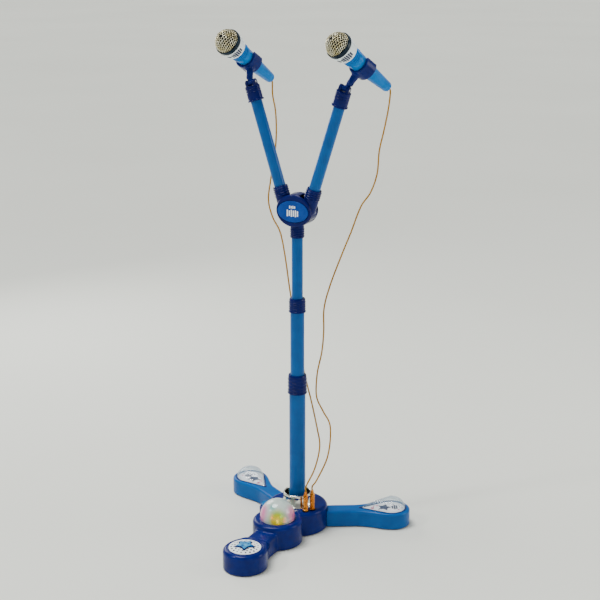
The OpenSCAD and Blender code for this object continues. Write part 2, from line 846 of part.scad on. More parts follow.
// Puts children in a microphone's own frame: +Z along it towards its head
module mic_turn(side) {
    k = side == LEFT ? 0 : 1;
    translate([side * clip_at.x, clip_at.y, clip_at.z]) rotate([0, 0, mic_yaw[k]])
        rotate([90 - mic_lift[k], 0, 0]) children();
}

module clip(side) {
    hinge = [side * hinge_at.x, hinge_at.y, hinge_at.z];
    centre = [side * clip_at.x, clip_at.y, clip_at.z];
    toward = (centre - hinge) / norm(centre - hinge);
    eye_half = ear_in - clear;
    color(navy) difference() {
        union() {
            arm_turn(side) translate([-eye_half, 0, hinge_reach]) rotate([0, 90, 0])
                cylinder(r = eye_r, h = 2 * eye_half);
            rod(hinge + 4 * toward, hinge + stem_bend * toward, stem_r[0], stem_r[1]);
            rod(hinge + (stem_bend - stem_lap) * toward, centre - (clip_out - 3) * toward,
                stem_r[1], stem_r[2]);
            mic_turn(side) translate([0, 0, -clip_half]) cylinder(r = clip_out, h = 2 * clip_half);
        }
        arm_turn(side) translate([-20, 0, hinge_reach]) rotate([0, 90, 0])
            cylinder(r = clip_pin_r + fit, h = 40);
        mic_turn(side) {
            translate([0, 0, -30]) cylinder(r = clip_in, h = 60);
            translate([0, 0, -30]) linear_extrude(60)
                polygon([[0, 0], 60 * [sin(clip_open), cos(clip_open)], [0, 90],
                         60 * [-sin(clip_open), cos(clip_open)]]);
        }
    }
}

module clip_left() clip(LEFT);
module clip_right() clip(RIGHT);

module mic_handle(side) {
    color(handle_blue) mic_turn(side) rotate_extrude()
        polygon([[0, tail_z], [7, tail_z], [9.2, tail_z + 1.2], [10.2, tail_z + 4],
                 [18, neck_z], [18, 30], [18.8, 30], [18.8, 33], [18, 33], [18, 35], [18.8, 35],
                 [18.8, 38], [18, 38], [18, 40], [18.8, 40], [18.8, 43], [18, 43], [18, band_z],
                 [16, band_z], [16, neck_z], [8.2, tail_z + 5], [0, tail_z + 5]]);
}

module mic_left_handle() mic_handle(LEFT);
module mic_right_handle() mic_handle(RIGHT);

module mic_band(side) {
    color([0.9, 0.93, 0.95]) mic_turn(side) rotate_extrude()
        polygon([[16, band_z], [19.5, band_z], [22, 48], [band_r, 68], [band_r, rim_z],
                 [24, rim_z], [20.2, 49.5], [16, 48]]);
}

module mic_left_band() mic_band(LEFT);
module mic_right_band() mic_band(RIGHT);

module mic_rim(side) {
    color([0.08, 0.25, 0.35]) mic_turn(side) rotate_extrude()
        polygon([[23.4, rim_z], [band_r - 0.6, rim_z], [band_r, rim_z + 0.8], [band_r, mesh_z + 1],
                 [band_r - 0.6, mesh_z + rim_up], [mesh_r + clear, mesh_z + rim_up], [mesh_r + clear, mesh_z],
                 [23.4, mesh_z]]);
}

module mic_left_rim() mic_rim(LEFT);
module mic_right_rim() mic_rim(RIGHT);

module mic_mesh(side) {
    color([0.62, 0.6, 0.5]) mic_turn(side) difference() {
        union() {
            translate([0, 0, mesh_z]) sphere(r = mesh_r);
            translate([0, 0, rim_z]) cylinder(r = 23.2, h = mesh_z - rim_z);
        }
        translate([0, 0, mesh_z]) sphere(r = mesh_r - 1.4);
        difference() {
            translate([0, 0, 30]) cylinder(r = 40, h = mesh_z - 30);
            translate([0, 0, rim_z]) cylinder(r = 23.2, h = 20);
        }
        translate([0, 0, 40]) cylinder(r = 21.6, h = mesh_z - 40);
    }
}

module mic_left_mesh() mic_mesh(LEFT);
module mic_right_mesh() mic_mesh(RIGHT);

module mic_capsule(side) {
    color([0.15, 0.15, 0.16]) mic_turn(side) {
        translate([0, 0, 67]) cylinder(r = 21, h = 2);
        translate([0, 0, 68.5]) cylinder(r = 8, h = 12);
    }
}

module mic_left_capsule() mic_capsule(LEFT);
module mic_right_capsule() mic_capsule(RIGHT);

// ---------- cords ----------

// A smooth curve through four neighbouring points, at share t of the middle stretch
function between(a, b, c, d, t) =
    0.5 * (2 * b + (c - a) * t + (2 * a - 5 * b + 4 * c - d) * t * t + (3 * b - a - 3 * c + d) * t * t * t);

function smooth(route, steps) = let (last = len(route) - 1) concat(
    [for (k = [0:last - 1], s = [0:steps - 1])
        between(route[max(0, k - 1)], route[k], route[k + 1], route[min(last, k + 2)], s / steps)],
    [route[last]]
);

function unit(v) = v / norm(v);

// One ring of points square to the line at point k
function ring(line, k, r, sides) = let (
    last = len(line) - 1,
    along = unit(line[min(last, k + 1)] - line[max(0, k - 1)]),
    across = unit(cross(along, [0, 1, 0])),
    up = cross(across, along)
) [for (s = [0:sides - 1]) line[k] + r * (across * cos(360 * s / sides) + up * sin(360 * s / sides))];

module cord(route) {
    sides = 8;
    line = smooth(route, 2);
    rings = len(line);
    points = [for (k = [0:rings - 1]) each ring(line, k, cord_d / 2, sides)];
    walls = [for (k = [0:rings - 2], s = [0:sides - 1]) let (n = (s + 1) % sides)
        [k * sides + s, k * sides + n, (k + 1) * sides + n, (k + 1) * sides + s]];
    start = [for (s = [sides - 1:-1:0]) s];
    end = [for (s = [0:sides - 1]) (rings - 1) * sides + s];
    color(gold) polyhedron(points, concat(walls, [start, end]));
}

module cord_left() cord(cord_left_route);
module cord_right() cord(cord_right_route);

base_shell_top();
base_shell_bottom();
battery_door();
rubber_feet();
base_screws();
batteries();
battery_contacts();
main_board();
jack_sockets();
aux_socket();
light_board();
lamps();
light_dome();
speaker_driver();
speaker_grille();
star_badge();
collar_ring();
ring_sleeve();
lower_pole();
lower_lock();
leg_left_shell();
leg_right_shell();
leg_floors();
leg_cards();
leg_left_window();
leg_right_window();
power_button();
plug_left();
plug_right();
middle_pole();
middle_lock();
upper_pole();
hub_socket();
hub_front_shell();
hub_rear_shell();
hub_badge();
hub_screws();
arm_pins();
arm_left_socket();
arm_right_socket();
arm_left_tube();
arm_right_tube();
arm_left_collar();
arm_right_collar();
clip_pin_left();
clip_pin_right();
clip_left();
clip_right();
mic_left_handle();
mic_right_handle();
mic_left_band();
mic_right_band();
mic_left_rim();
mic_right_rim();
mic_left_mesh();
mic_right_mesh();
mic_left_capsule();
mic_right_capsule();
cord_left();
cord_right();
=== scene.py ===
"""Toy karaoke stand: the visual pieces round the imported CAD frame. Shapes are worked out in millimetres."""
import json
import math

import bmesh
import bpy
import numpy as np
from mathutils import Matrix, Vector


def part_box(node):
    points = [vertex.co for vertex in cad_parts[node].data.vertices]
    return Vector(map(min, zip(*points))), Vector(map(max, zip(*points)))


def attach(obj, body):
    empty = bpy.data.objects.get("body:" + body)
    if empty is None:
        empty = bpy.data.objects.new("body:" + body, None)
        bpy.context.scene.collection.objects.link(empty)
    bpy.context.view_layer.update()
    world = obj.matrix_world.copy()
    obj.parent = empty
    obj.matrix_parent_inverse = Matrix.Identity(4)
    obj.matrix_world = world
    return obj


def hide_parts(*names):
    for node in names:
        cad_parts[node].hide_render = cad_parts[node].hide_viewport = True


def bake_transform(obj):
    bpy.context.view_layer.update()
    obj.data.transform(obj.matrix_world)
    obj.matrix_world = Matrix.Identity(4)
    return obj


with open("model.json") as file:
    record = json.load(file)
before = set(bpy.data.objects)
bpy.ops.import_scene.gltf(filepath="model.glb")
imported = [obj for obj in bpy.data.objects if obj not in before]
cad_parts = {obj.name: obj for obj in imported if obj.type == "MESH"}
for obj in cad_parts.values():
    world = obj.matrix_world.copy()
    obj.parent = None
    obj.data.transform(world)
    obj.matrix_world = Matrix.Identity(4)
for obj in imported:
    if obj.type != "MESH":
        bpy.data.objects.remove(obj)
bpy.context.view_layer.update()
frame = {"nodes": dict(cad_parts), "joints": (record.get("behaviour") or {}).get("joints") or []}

import openvdb
from mathutils import Matrix, Vector

MM = 0.001
LEFT = -1
RIGHT = 1
NAMES = {LEFT: "left", RIGHT: "right"}

# --- sizes, as in the part's source ---

FLOOR_GAP = 2
EDGE = 8
WALL = 2.4
HUB_R = 62
LOBE_R = 50
FOOT_R = 43
NECK_W = 50
BUTTON_LOBE_R = 17
LEG_ANGLE = 30
LEG_HALF = 18
LEG_LOBE_R = 37
LEG_REACH = 196
FLARE_FROM = 120
DROP_TIP = 131
DROP_AT = 194.5
DROP_R = 29.5
DROP_TIP_R = 0.8
WINDOW_RISE = 23
GLASS = 1.6
POLE_R = {"lower": 16.5, "middle": 14, "upper": 11}
POLE_FIT = 0.06
ARM_ANGLE = 17.7
ARM_LEN = 251
ARM_R = 11.25
PIVOT_HOLE_R = 3.05
HINGE_UP = 6
HINGE_HOLE_R = 2.55
CLIP_IN = 17.5
CLIP_HALF = 14
CLIP_OPEN = 55
STEM_R = (2.9, 6.2, 7.6)
CLIP_AT = {LEFT: (-122, 30, 944), RIGHT: (122, 30, 944)}
MIC_YAW = {LEFT: -8, RIGHT: -20}
MIC_LIFT = {LEFT: 31, RIGHT: 33.6}
TAIL_Z = -82
NECK_Z = 28
BAND_Z = 46
RIM_Z = 69.6
DOME_Z = 76
CORD_R = 1.6

# A cord's route, from each microphone's tail down to its plug
CORD_ROUTES = {
    LEFT: [
        (-112, 101, 901), (-113, 106, 895), (-114, 109, 868), (-109, 111, 838), (-107, 111, 798),
        (-109, 109, 757), (-117, 104, 696), (-119, 98, 655), (-106, 92, 622), (-84, 84, 594),
        (-67, 74, 545), (-54, 66, 491), (-39, 58, 432), (-23, 50, 373), (-5, 42, 313),
        (13, 36, 262), (30, 28, 212), (43, 16, 176), (43, -5, 136), (37, -28, 108),
        (35.5, -31, 100), (35.5, -31, 93),
    ],
    RIGHT: [
        (146, 95, 898), (148, 99, 891), (144, 101, 859), (136, 100, 817), (128, 97, 776),
        (126, 93, 732), (115, 88, 695), (96, 84, 665), (79, 76, 613), (63, 70, 569),
        (43, 60, 507), (33, 52, 458), (36, 45, 412), (35, 39, 370), (28, 33, 325),
        (29, 28, 278), (46, 24, 250), (65, 19, 222), (67, 6, 165), (53, -12, 118),
        (43.8, -17.5, 101), (43.6, -17.6, 93),
    ],
}


# --- places, from the frame ---

def corners(node):
    """A CAD node's lowest and highest corners, in millimetres."""
    low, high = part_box(node)
    return low / MM, high / MM


def middle(node):
    low, high = corners(node)
    return (low + high) / 2


def joint_place(name):
    joint = next(j for j in frame["joints"] if j["name"] == name)
    return Vector(joint["pos_m"]) / MM


def leg_frame(side):
    turn = LEG_ANGLE if side == RIGHT else 180 - LEG_ANGLE
    return Matrix.Rotation(math.radians(turn), 4, "Z")


def arm_frame(side):
    pivot = Matrix.Translation(joint_place(f"arm_{NAMES[side]}_swing"))
    return pivot @ Matrix.Rotation(math.radians(side * ARM_ANGLE), 4, "Y")


def mic_frame(side):
    place = Matrix.Translation(CLIP_AT[side])
    yaw = Matrix.Rotation(math.radians(MIC_YAW[side]), 4, "Z")
    return place @ yaw @ Matrix.Rotation(math.radians(90 - MIC_LIFT[side]), 4, "X")


def upright(at):
    """Upright axes on the floor below a place."""
    return Matrix.Translation((at.x, at.y, 0))


BASE_H = corners("collar_ring")[0].z
FOOT_H = corners("speaker_grille")[1].z - 5
LEG_H = corners("leg_left_shell")[1].z
LAMP_AT = middle("light_dome")
SPEAKER_AT = middle("speaker_driver")
BUTTON_AT = middle("power_button")
AUX_AT = middle("aux_socket")
HUB_AT = middle("hub_front_shell")


# --- meshes ---

def add(name, mesh, material, body, *nodes):
    """Puts a mesh in the scene as a piece that rides on a body and stands for CAD nodes."""
    obj = bpy.data.objects.new(name, mesh)
    bpy.context.scene.collection.objects.link(obj)
    mesh.materials.append(material)
    if body:
        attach(obj, body)
    if nodes:
        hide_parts(*nodes)
    return obj


def visual(node, mesh, material, body="base"):
    """Adds the piece that stands for one CAD node."""
    return add(node + "_visual", mesh, material, body, node)


def build(name, points, faces, matrix=Matrix.Identity(4), crease=40):
    """A smooth mesh from points in millimetres, with edges sharper than crease left sharp."""
    mesh = bpy.data.meshes.new(name)
    mesh.from_pydata([tuple(p) for p in points], [], [tuple(f) for f in faces])
    mesh.transform(Matrix.Scale(MM, 4) @ matrix)
    work = bmesh.new()
    work.from_mesh(mesh)
    bmesh.ops.recalc_face_normals(work, faces=work.faces)
    work.to_mesh(mesh)
    work.free()
    mesh.polygons.foreach_set("use_smooth", [True] * len(mesh.polygons))
    mesh.set_sharp_from_angle(angle=math.radians(crease))
    mesh.update()
    return mesh


def arc(r, start, end, count, at=(0, 0)):
    """Points along a round stretch, between two angles in radians."""
    return [(at[0] + r * math.cos(a), at[1] + r * math.sin(a)) for a in np.linspace(start, end, count)]


def ribs(low, pitch, count, inner, outer, *ups):
    """A row of ribs on a profile; ups are the heights at which each goes out, stays out and is in again."""
    points = []
    for k in range(count):
        z = low + pitch * k
        points += [(inner, z), (outer, z + ups[0]), (outer, z + ups[1]), (inner, z + ups[2])]
    return points


def round_off(outline, radius, steps=4):
    """A closed outline with each corner off the axis rounded to about that radius."""
    out = []
    count = len(outline)
    for k in range(count):
        before = np.array(outline[k - 1], float)
        here = np.array(outline[k], float)
        after = np.array(outline[(k + 1) % count], float)
        if here[0] < 1e-6:
            out.append(tuple(here))
            continue
        back = before - here
        ahead = after - here
        reach = min(radius, 0.45 * np.linalg.norm(back), 0.45 * np.linalg.norm(ahead))
        start = here + back / np.linalg.norm(back) * reach
        end = here + ahead / np.linalg.norm(ahead) * reach
        for s in np.linspace(0, 1, steps + 1):
            out.append(tuple((1 - s) ** 2 * start + 2 * s * (1 - s) * here + s * s * end))
    return out


def lathe(name, profile, matrix=Matrix.Identity(4), steps=96, crease=40):
    """Turns a closed profile of (radius, height) points round the Z axis of matrix."""
    points = []
    rings = []
    for r, z in profile:
        if r < 1e-6:
            rings.append([len(points)] * steps)
            points.append((0, 0, z))
            continue
        rings.append(list(range(len(points), len(points) + steps)))
        for a in np.linspace(0, 2 * math.pi, steps, endpoint=False):
            points.append((r * math.cos(a), r * math.sin(a), z))
    faces = []
    for k, ring in enumerate(rings):
        after = rings[(k + 1) % len(rings)]
        for s in range(steps):
            t = (s + 1) % steps
            face = [ring[s], ring[t], after[t], after[s]]
            face = [v for i, v in enumerate(face) if v not in face[:i]]
            if len(face) > 2:
                faces.append(face)
    return build(name, points, faces, matrix, crease)


def strips(rings, count, first=0):
    """The faces that join each of several rings of points to the next."""
    faces = []
    for k in range(rings - 1):
        a = first + k * count
        for s in range(count):
            t = (s + 1) % count
            faces.append([a + s, a + t, a + count + t, a + count + s])
    return faces


def sweep(line, radius, sides):
    """Points and faces of a capped round tube along a line; radius may be one number or one per point."""
    line = np.array(line, float)
    radii = np.broadcast_to(radius, len(line))
    along = np.gradient(line, axis=0)
    along /= np.linalg.norm(along, axis=1)[:, None]
    across = np.cross(along[0], (0.3, 0.9, 0.2))
    points = []
    for k in range(len(line)):
        across = across - along[k] * np.dot(across, along[k])
        across /= np.linalg.norm(across)
        up = np.cross(along[k], across)
        for a in np.linspace(0, 2 * math.pi, sides, endpoint=False):
            points.append(line[k] + radii[k] * (math.cos(a) * across + math.sin(a) * up))
    faces = [list(range(sides - 1, -1, -1)), list(range(len(points) - sides, len(points)))]
    return points, faces + strips(len(line), sides)


def field_mesh(name, field, low, high, voxel, matrix=Matrix.Identity(4)):
    """Meshes the surface where field is zero, settles its points on it and takes their normals from it."""
    low = np.array(low, float)
    steps = np.ceil((np.array(high, float) - low) / voxel).astype(int) + 1
    axes = [low[k] + voxel * np.arange(steps[k]) for k in range(3)]
    values = field(np.meshgrid(*axes, indexing="ij", sparse=True))
    grid = openvdb.FloatGrid(background=3 * voxel)
    grid.copyFromArray(np.clip(values, -3 * voxel, 3 * voxel).astype(np.float32))
    points, quads = grid.convertToQuads(0.0)
    points = low + np.array(points, float) * voxel
    for _ in range(3):
        slope = gradient(field, points)
        step = field(points.T) / np.maximum((slope ** 2).sum(1), 0.2)
        points -= np.clip(step, -0.5 * voxel, 0.5 * voxel)[:, None] * slope
    slope = gradient(field, points)
    normals = slope / np.maximum(np.linalg.norm(slope, axis=1), 1e-6)[:, None]
    quads = np.array(quads)
    face = np.cross(points[quads[:, 2]] - points[quads[:, 0]], points[quads[:, 3]] - points[quads[:, 1]])
    if (face * normals[quads[:, 0]]).sum() < 0:
        quads = quads[:, ::-1]
    mesh = bpy.data.meshes.new(name)
    mesh.from_pydata(points.tolist(), [], quads.tolist())
    mesh.polygons.foreach_set("use_smooth", [True] * len(mesh.polygons))
    mesh.transform(Matrix.Scale(MM, 4) @ matrix)
    turned = normals @ np.array(matrix.to_3x3()).T
    mesh.normals_split_custom_set_from_vertices(turned.tolist())
    return mesh


def node_mesh(node, name, field, room, voxel):
    """Meshes a field inside a node's box, widened by room."""
    low, high = corners(node)
    room = Vector((room, room, room))
    return field_mesh(name, field, low - room, high + room, voxel)


def gradient(field, points, h=0.02):
    found = np.empty_like(points)
    for k in range(3):
        shift = np.zeros(3)
        shift[k] = h
        found[:, k] = (field((points + shift).T) - field((points - shift).T)) / (2 * h)
    return found


# --- distance fields ---

def melt(a, b, k):
    """The union of two fields, with the crease between them filled over about k."""
    h = np.clip(0.5 + 0.5 * (b - a) / k, 0, 1)
    return b * (1 - h) + a * h - k * h * (1 - h)


def carve(a, b, k=0.8):
    """Field a less field b, with the cut's edge rounded over about k."""
    return -melt(-a, b, k)


def keep(a, b, k=0.8):
    """What fields a and b share, with the edge between them rounded over about k."""
    return -melt(-a, -b, k)


def slab(side, up, edge):
    """A flat block with rounded edges, from its distance sideways and its distance up."""
    side = side + edge
    up = up + edge
    return np.minimum(np.maximum(side, up), 0) + np.hypot(np.maximum(side, 0), np.maximum(up, 0)) - edge


def disc(p, at, r, low, high, edge):
    """An upright round block with rounded edges."""
    side = np.hypot(p[0] - at[0], p[1] - at[1]) - r
    return slab(side, np.abs(p[2] - (low + high) / 2) - (high - low) / 2, edge)


def capsule(p, a, b, ra, rb):
    """A rod from a to b whose radius goes from ra to rb, with round ends."""
    a = np.array(a, float)
    d = np.array(b, float) - a
    q = [p[k] - a[k] for k in range(3)]
    t = np.clip(sum(q[k] * d[k] for k in range(3)) / (d @ d), 0, 1)
    far = np.sqrt(sum((q[k] - t * d[k]) ** 2 for k in range(3)))
    return far - (ra + (rb - ra) * t)


def local(p, matrix):
    """Points in the frame's axes, turned into the axes of matrix."""
    m = np.array(matrix.inverted())
    return [m[k, 0] * p[0] + m[k, 1] * p[1] + m[k, 2] * p[2] + m[k, 3] for k in range(3)]


def oval(x, z, a, b):
    """Distance to an upright oval, close to true near its edge."""
    near = np.hypot(x / a, z / b)
    return near * (near - 1) / np.maximum(np.hypot(x / a ** 2, z / b ** 2), 1e-6)


def drop_reach(inset):
    """How far apart a teardrop's two circles are when its outline is moved in by inset."""
    return DROP_AT - DROP_TIP - 1.6 * inset


def drop(u, v, inset=0):
    """Distance to a teardrop: a small circle at its tip and a big one, joined by straight sides."""
    big = DROP_R - inset
    reach = drop_reach(inset)
    along = u - (DROP_AT - reach)
    v = np.abs(v)
    lean = (DROP_TIP_R - big) / reach
    flat = math.sqrt(1 - lean ** 2)
    k = -lean * v + flat * along
    side = v * flat + along * lean - DROP_TIP_R
    return np.where(k < 0, np.hypot(v, along) - DROP_TIP_R,
                    np.where(k > flat * reach, np.hypot(v, along - reach) - big, side))


def sector(x, y, half_angle):
    """Distance to a wedge from the origin that opens half_angle degrees to each side of +Y."""
    s = math.sin(math.radians(half_angle))
    c = math.cos(math.radians(half_angle))
    x = np.abs(x)
    return np.where(x * s + y * c < 0, np.hypot(x, y), x * c - y * s)


def star(x, y, outer, inner):
    """Distance to a five-pointed star with one point towards +Y."""
    fold = np.abs((np.arctan2(x, y) + math.pi / 5) % (2 * math.pi / 5) - math.pi / 5)
    far = np.hypot(x, y)
    qx = far * np.sin(fold)
    qy = far * np.cos(fold) - outer
    ex = inner * math.sin(math.pi / 5)
    ey = inner * math.cos(math.pi / 5) - outer
    t = np.clip((qx * ex + qy * ey) / (ex ** 2 + ey ** 2), 0, 1)
    return np.hypot(qx - t * ex, qy - t * ey) * np.sign(qy * ex - qx * ey)


# --- materials ---

def rgb(*levels):
    """A colour from screen levels of 0 to 255."""
    return [((v / 255 + 0.055) / 1.055) ** 2.4 for v in levels]


def new_node(nodes, kind, **values):
    """A shader node with values for its sockets, whose spaces are written as underscores."""
    made = nodes.new("ShaderNode" + kind)
    for socket, value in values.items():
        made.inputs[socket.replace("_", " ")].default_value = value
    return made


def colour_ramp(nodes, *ends):
    """A ramp between two colours, each given with its place."""
    ramp = nodes.new("ShaderNodeValToRGB")
    for element, (place, colour) in zip(ramp.color_ramp.elements, ends):
        element.position = place
        element.color = (*colour, 1)
    return ramp


def material(name, shade, other, rough, blotch=45, grain=700, stretch=(1, 1, 1), relief=0.05, **shader):
    """A surface that drifts between two screen shades, with a fine grain in its gloss and relief."""
    mat = bpy.data.materials.new(name)
    mat.use_nodes = True
    nodes = mat.node_tree.nodes
    link = mat.node_tree.links.new
    surface = nodes["Principled BSDF"]
    where = nodes.new("ShaderNodeTexCoord")
    squeeze = new_node(nodes, "Mapping", Scale=stretch)
    link(where.outputs["Object"], squeeze.inputs["Vector"])
    drift = new_node(nodes, "TexNoise", Scale=blotch, Detail=3)
    link(where.outputs["Object"], drift.inputs["Vector"])
    ramp = colour_ramp(nodes, (0.35, rgb(*shade)), (0.65, rgb(*other)))
    link(drift.outputs["Fac"], ramp.inputs["Fac"])
    link(ramp.outputs["Color"], surface.inputs["Base Color"])
    fine = new_node(nodes, "TexNoise", Scale=grain, Detail=4)
    link(squeeze.outputs["Vector"], fine.inputs["Vector"])
    gloss = new_node(nodes, "MapRange", To_Min=rough * 0.75, To_Max=rough * 1.25)
    link(fine.outputs["Fac"], gloss.inputs["Value"])
    link(gloss.outputs["Result"], surface.inputs["Roughness"])
    bump = new_node(nodes, "Bump", Strength=relief, Distance=0.0004)
    link(fine.outputs["Fac"], bump.inputs["Height"])
    link(bump.outputs["Normal"], surface.inputs["Normal"])
    for socket, value in shader.items():
        surface.inputs[socket.replace("_", " ")].default_value = value
    return mat


def with_painted_glow(mat, painted_glow):
    """Adds soft round patches of painted lamp glow to a material: (place in millimetres, radius, colour)."""
    nodes = mat.node_tree.nodes
    link = mat.node_tree.links.new
    surface = nodes["Principled BSDF"]
    where = nodes.new("ShaderNodeTexCoord")
    last = surface.inputs["Base Color"].links[0].from_socket
    for place, radius, colour in painted_glow:
        away = nodes.new("ShaderNodeVectorMath")
        away.operation = "DISTANCE"
        away.inputs[1].default_value = [c * MM for c in place]
        link(where.outputs["Object"], away.inputs[0])
        fade = new_node(nodes, "MapRange", From_Min=radius * MM, From_Max=0.3 * radius * MM)
        fade.interpolation_type = "SMOOTHSTEP"
        link(away.outputs["Value"], fade.inputs["Value"])
        mix = nodes.new("ShaderNodeMix")
        mix.data_type = "RGBA"
        mix.inputs["B"].default_value = (*colour, 1)
        link(fade.outputs["Result"], mix.inputs["Factor"])
        link(last, mix.inputs["A"])
        last = mix.outputs["Result"]
    link(last, surface.inputs["Base Color"])
    return mat


def glazed(mat, least, most):
    """Makes a material see-through: least where it faces the eye, most where it is seen edge on."""
    nodes = mat.node_tree.nodes
    link = mat.node_tree.links.new
    facing = new_node(nodes, "LayerWeight", Blend=0.35)
    cover = new_node(nodes, "MapRange", To_Min=least, To_Max=most)
    link(facing.outputs["Facing"], cover.inputs["Value"])
    link(cover.outputs["Result"], nodes["Principled BSDF"].inputs["Alpha"])
    return mat


GLOSSY = {"Specular_IOR_Level": 0.11, "Coat_Weight": 0.05, "Coat_Roughness": 0.06}
base_blue = material("base_blue", (0, 18, 88), (0, 25, 102), 0.23, **GLOSSY)
navy = material("navy", (0, 11, 76), (0, 16, 88), 0.18, **GLOSSY)
leg_blue = material("leg_blue", (0, 76, 142), (0, 84, 152), 0.24, **GLOSSY)
tube_blue = material(
    "tube_blue", (0, 74, 138), (0, 82, 150), 0.16, grain=300, stretch=(4, 4, 0.2),
    Specular_IOR_Level=0.15, Sheen_Weight=0.7, Sheen_Roughness=0.22, Sheen_Tint=(0.3, 0.8, 1, 1))
handle_blue = material("handle_blue", (0, 100, 176), (4, 112, 188), 0.2, **GLOSSY)
clip_navy = material("clip_navy", (0, 18, 88), (0, 25, 100), 0.26, **GLOSSY)
button_blue = material("button_blue", (16, 104, 164), (26, 116, 174), 0.22, **GLOSSY)
rim_teal = material("rim_teal", (0, 24, 40), (2, 32, 50), 0.26, **GLOSSY)
white = material("white", (226, 236, 238), (238, 245, 247), 0.3, **GLOSSY)
black = material("black", (4, 4, 6), (8, 8, 10), 0.5, relief=0.2, Specular_IOR_Level=0.1)
rubber = material("rubber", (14, 14, 16), (24, 24, 26), 0.85, grain=1400, relief=0.5)
steel = material("steel", (168, 168, 172), (190, 190, 194), 0.35, stretch=(1, 1, 8), Metallic=1.0)
contact_steel = material(
    "contact_steel", (196, 194, 184), (214, 212, 204), 0.25, stretch=(6, 1, 1), Metallic=1.0)
battery_case = material("battery_case", (176, 120, 26), (196, 142, 44), 0.3, Metallic=0.7)
board_green = material("board_green", (8, 62, 30), (16, 84, 44), 0.4, blotch=260, Coat_Weight=0.4)
chrome = material(
    "chrome", (196, 196, 184), (224, 222, 210), 0.12, grain=260, stretch=(0.3, 0.3, 9),
    relief=0.06, Metallic=1.0)
gold_plug = material("gold_plug", (186, 104, 26), (222, 150, 62), 0.22, relief=0.15, Metallic=0.9)
cord_gold = material(
    "cord_gold", (150, 104, 6), (172, 124, 16), 0.4, blotch=120, grain=1500, relief=0.3,
    Specular_IOR_Level=0.2)
wire = material("wire", (206, 192, 140), (240, 236, 212), 0.25, blotch=90, relief=0.15, Metallic=0.7)
foam = material("foam", (10, 9, 5), (24, 20, 10), 0.9, blotch=420, grain=2400, relief=1.0,
                Specular_IOR_Level=0.1)
badge_blue = material("badge_blue", (0, 58, 138), (1, 68, 152), 0.28, **GLOSSY)
star_blue = material("star_blue", (8, 84, 148), (80, 164, 206), 0.3, blotch=190, **GLOSSY)
print_white = material("print_white", (232, 240, 246), (246, 250, 252), 0.45)
print_navy = material("print_navy", (3, 12, 52), (6, 20, 66), 0.45)
print_pink = material("print_pink", (190, 24, 96), (208, 44, 116), 0.45)
card = material("card", (232, 236, 240), (244, 246, 248), 0.5, blotch=90)
clear = glazed(
    material("clear", (150, 178, 194), (172, 196, 210), 0.05, relief=0.0, Coat_Weight=1.0,
             Coat_Roughness=0.03), 0.03, 0.62)


def dome_plastic():
    """Frosted clear plastic with the lamps' glow painted on it as soft coloured patches."""
    milk = material("dome_clear", (206, 226, 218), (226, 238, 232), 0.2, relief=0.03,
                    Transmission_Weight=0.35, IOR=1.3, Coat_Weight=1.0, Coat_Roughness=0.04)
    # Painted light: the lamps' glow as patches of colour on the dome, each given by place, radius and colour.
    painted_glow = [((28, 2, 12), 24, rgb(236, 130, 176)), ((-23, -21, 13), 27, rgb(232, 116, 180)),
             ((1, -18, 26), 13, rgb(70, 180, 176)), ((14, -26, 12), 24, rgb(176, 206, 20)),
             ((15, -28, 7), 18, rgb(250, 224, 0))]
    low, high = corners("light_dome")
    centre = (low + high) / 2
    return with_painted_glow(milk, [((centre.x + x, centre.y + y, BASE_H + z), r, c) for (x, y, z), r, c in painted_glow])


# --- camera ---

def place_camera():
    target = Vector((0.0047, 0.0025, 0.4837))
    azimuth = math.radians(28)
    elevation = math.radians(16)
    back = Vector((math.sin(azimuth) * math.cos(elevation),
                   -math.cos(azimuth) * math.cos(elevation), math.sin(elevation)))
    lens = bpy.data.cameras.new("camera")
    lens.lens = 79
    lens.sensor_width = 36
    camera = bpy.data.objects.new("camera", lens)
    camera.location = target + 2.6 * back
    camera.rotation_euler = back.to_track_quat("Z", "Y").to_euler()
    bpy.context.scene.collection.objects.link(camera)
    bpy.context.scene.camera = camera


place_camera()


# --- plugs and cords ---

def make_plug(side):
    name = f"plug_{NAMES[side]}"
    low, high = corners(name)
    grip = BASE_H + 1.3
    profile = [(0, low.z), (2.2, low.z), (3, low.z + 1.5), (3, grip), (5.2, grip)]
    profile += ribs(grip + 1.4, 3, 10, 5.2, 4.2, 0.5, 1.5, 2) + [(5.2, grip + 32), (4.2, grip + 33.4)]
    for z in np.arange(grip + 34.4, high.z - 1, 2.4):
        r = 3.7 - 1.2 * (z - grip - 34.4) / (high.z - grip - 34.4)
        profile += [(r, z), (r, z + 1.2), (r - 0.6, z + 1.4), (r - 0.6, z + 2.2)]
    profile += [(2, high.z), (0, high.z)]
    mesh = lathe(name + "_shape", round_off(profile, 0.3, 2), upright(middle(name)), 48)
    return visual(name, mesh, gold_plug, name)


def smooth_line(route, steps=8):
    """A smooth curve through the points of a route."""
    route = np.array(route, float)
    line = []
    for k in range(len(route) - 1):
        a, b, c, d = (route[min(max(j, 0), len(route) - 1)] for j in range(k - 1, k + 3))
        for t in np.arange(steps) / steps:
            line.append(0.5 * (2 * b + (c - a) * t + (2 * a - 5 * b + 4 * c - d) * t ** 2
                               + (3 * b - a - 3 * c + d) * t ** 3))
    return np.array(line + [route[-1]])


def make_cord(side, plug_piece):
    """A cord in six stretches along its route, each a separate fixed tube."""
    name = NAMES[side]
    breaks = [0, 5, 7, 10, 13, 16, 21]
    steps = 8
    line = smooth_line(CORD_ROUTES[side], steps)
    for k in range(6):
        part = line[steps * breaks[k]:steps * breaks[k + 1] + 1]
        mesh = build(f"cord_{name}_{k + 1}", *sweep(part, CORD_R, 12), crease=60)
        piece = add(f"cord_{name}_{k + 1}", mesh, cord_gold, None, f"cord_{name}")
        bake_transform(piece)


for side in NAMES:
    make_cord(side, make_plug(side))


# --- base ---

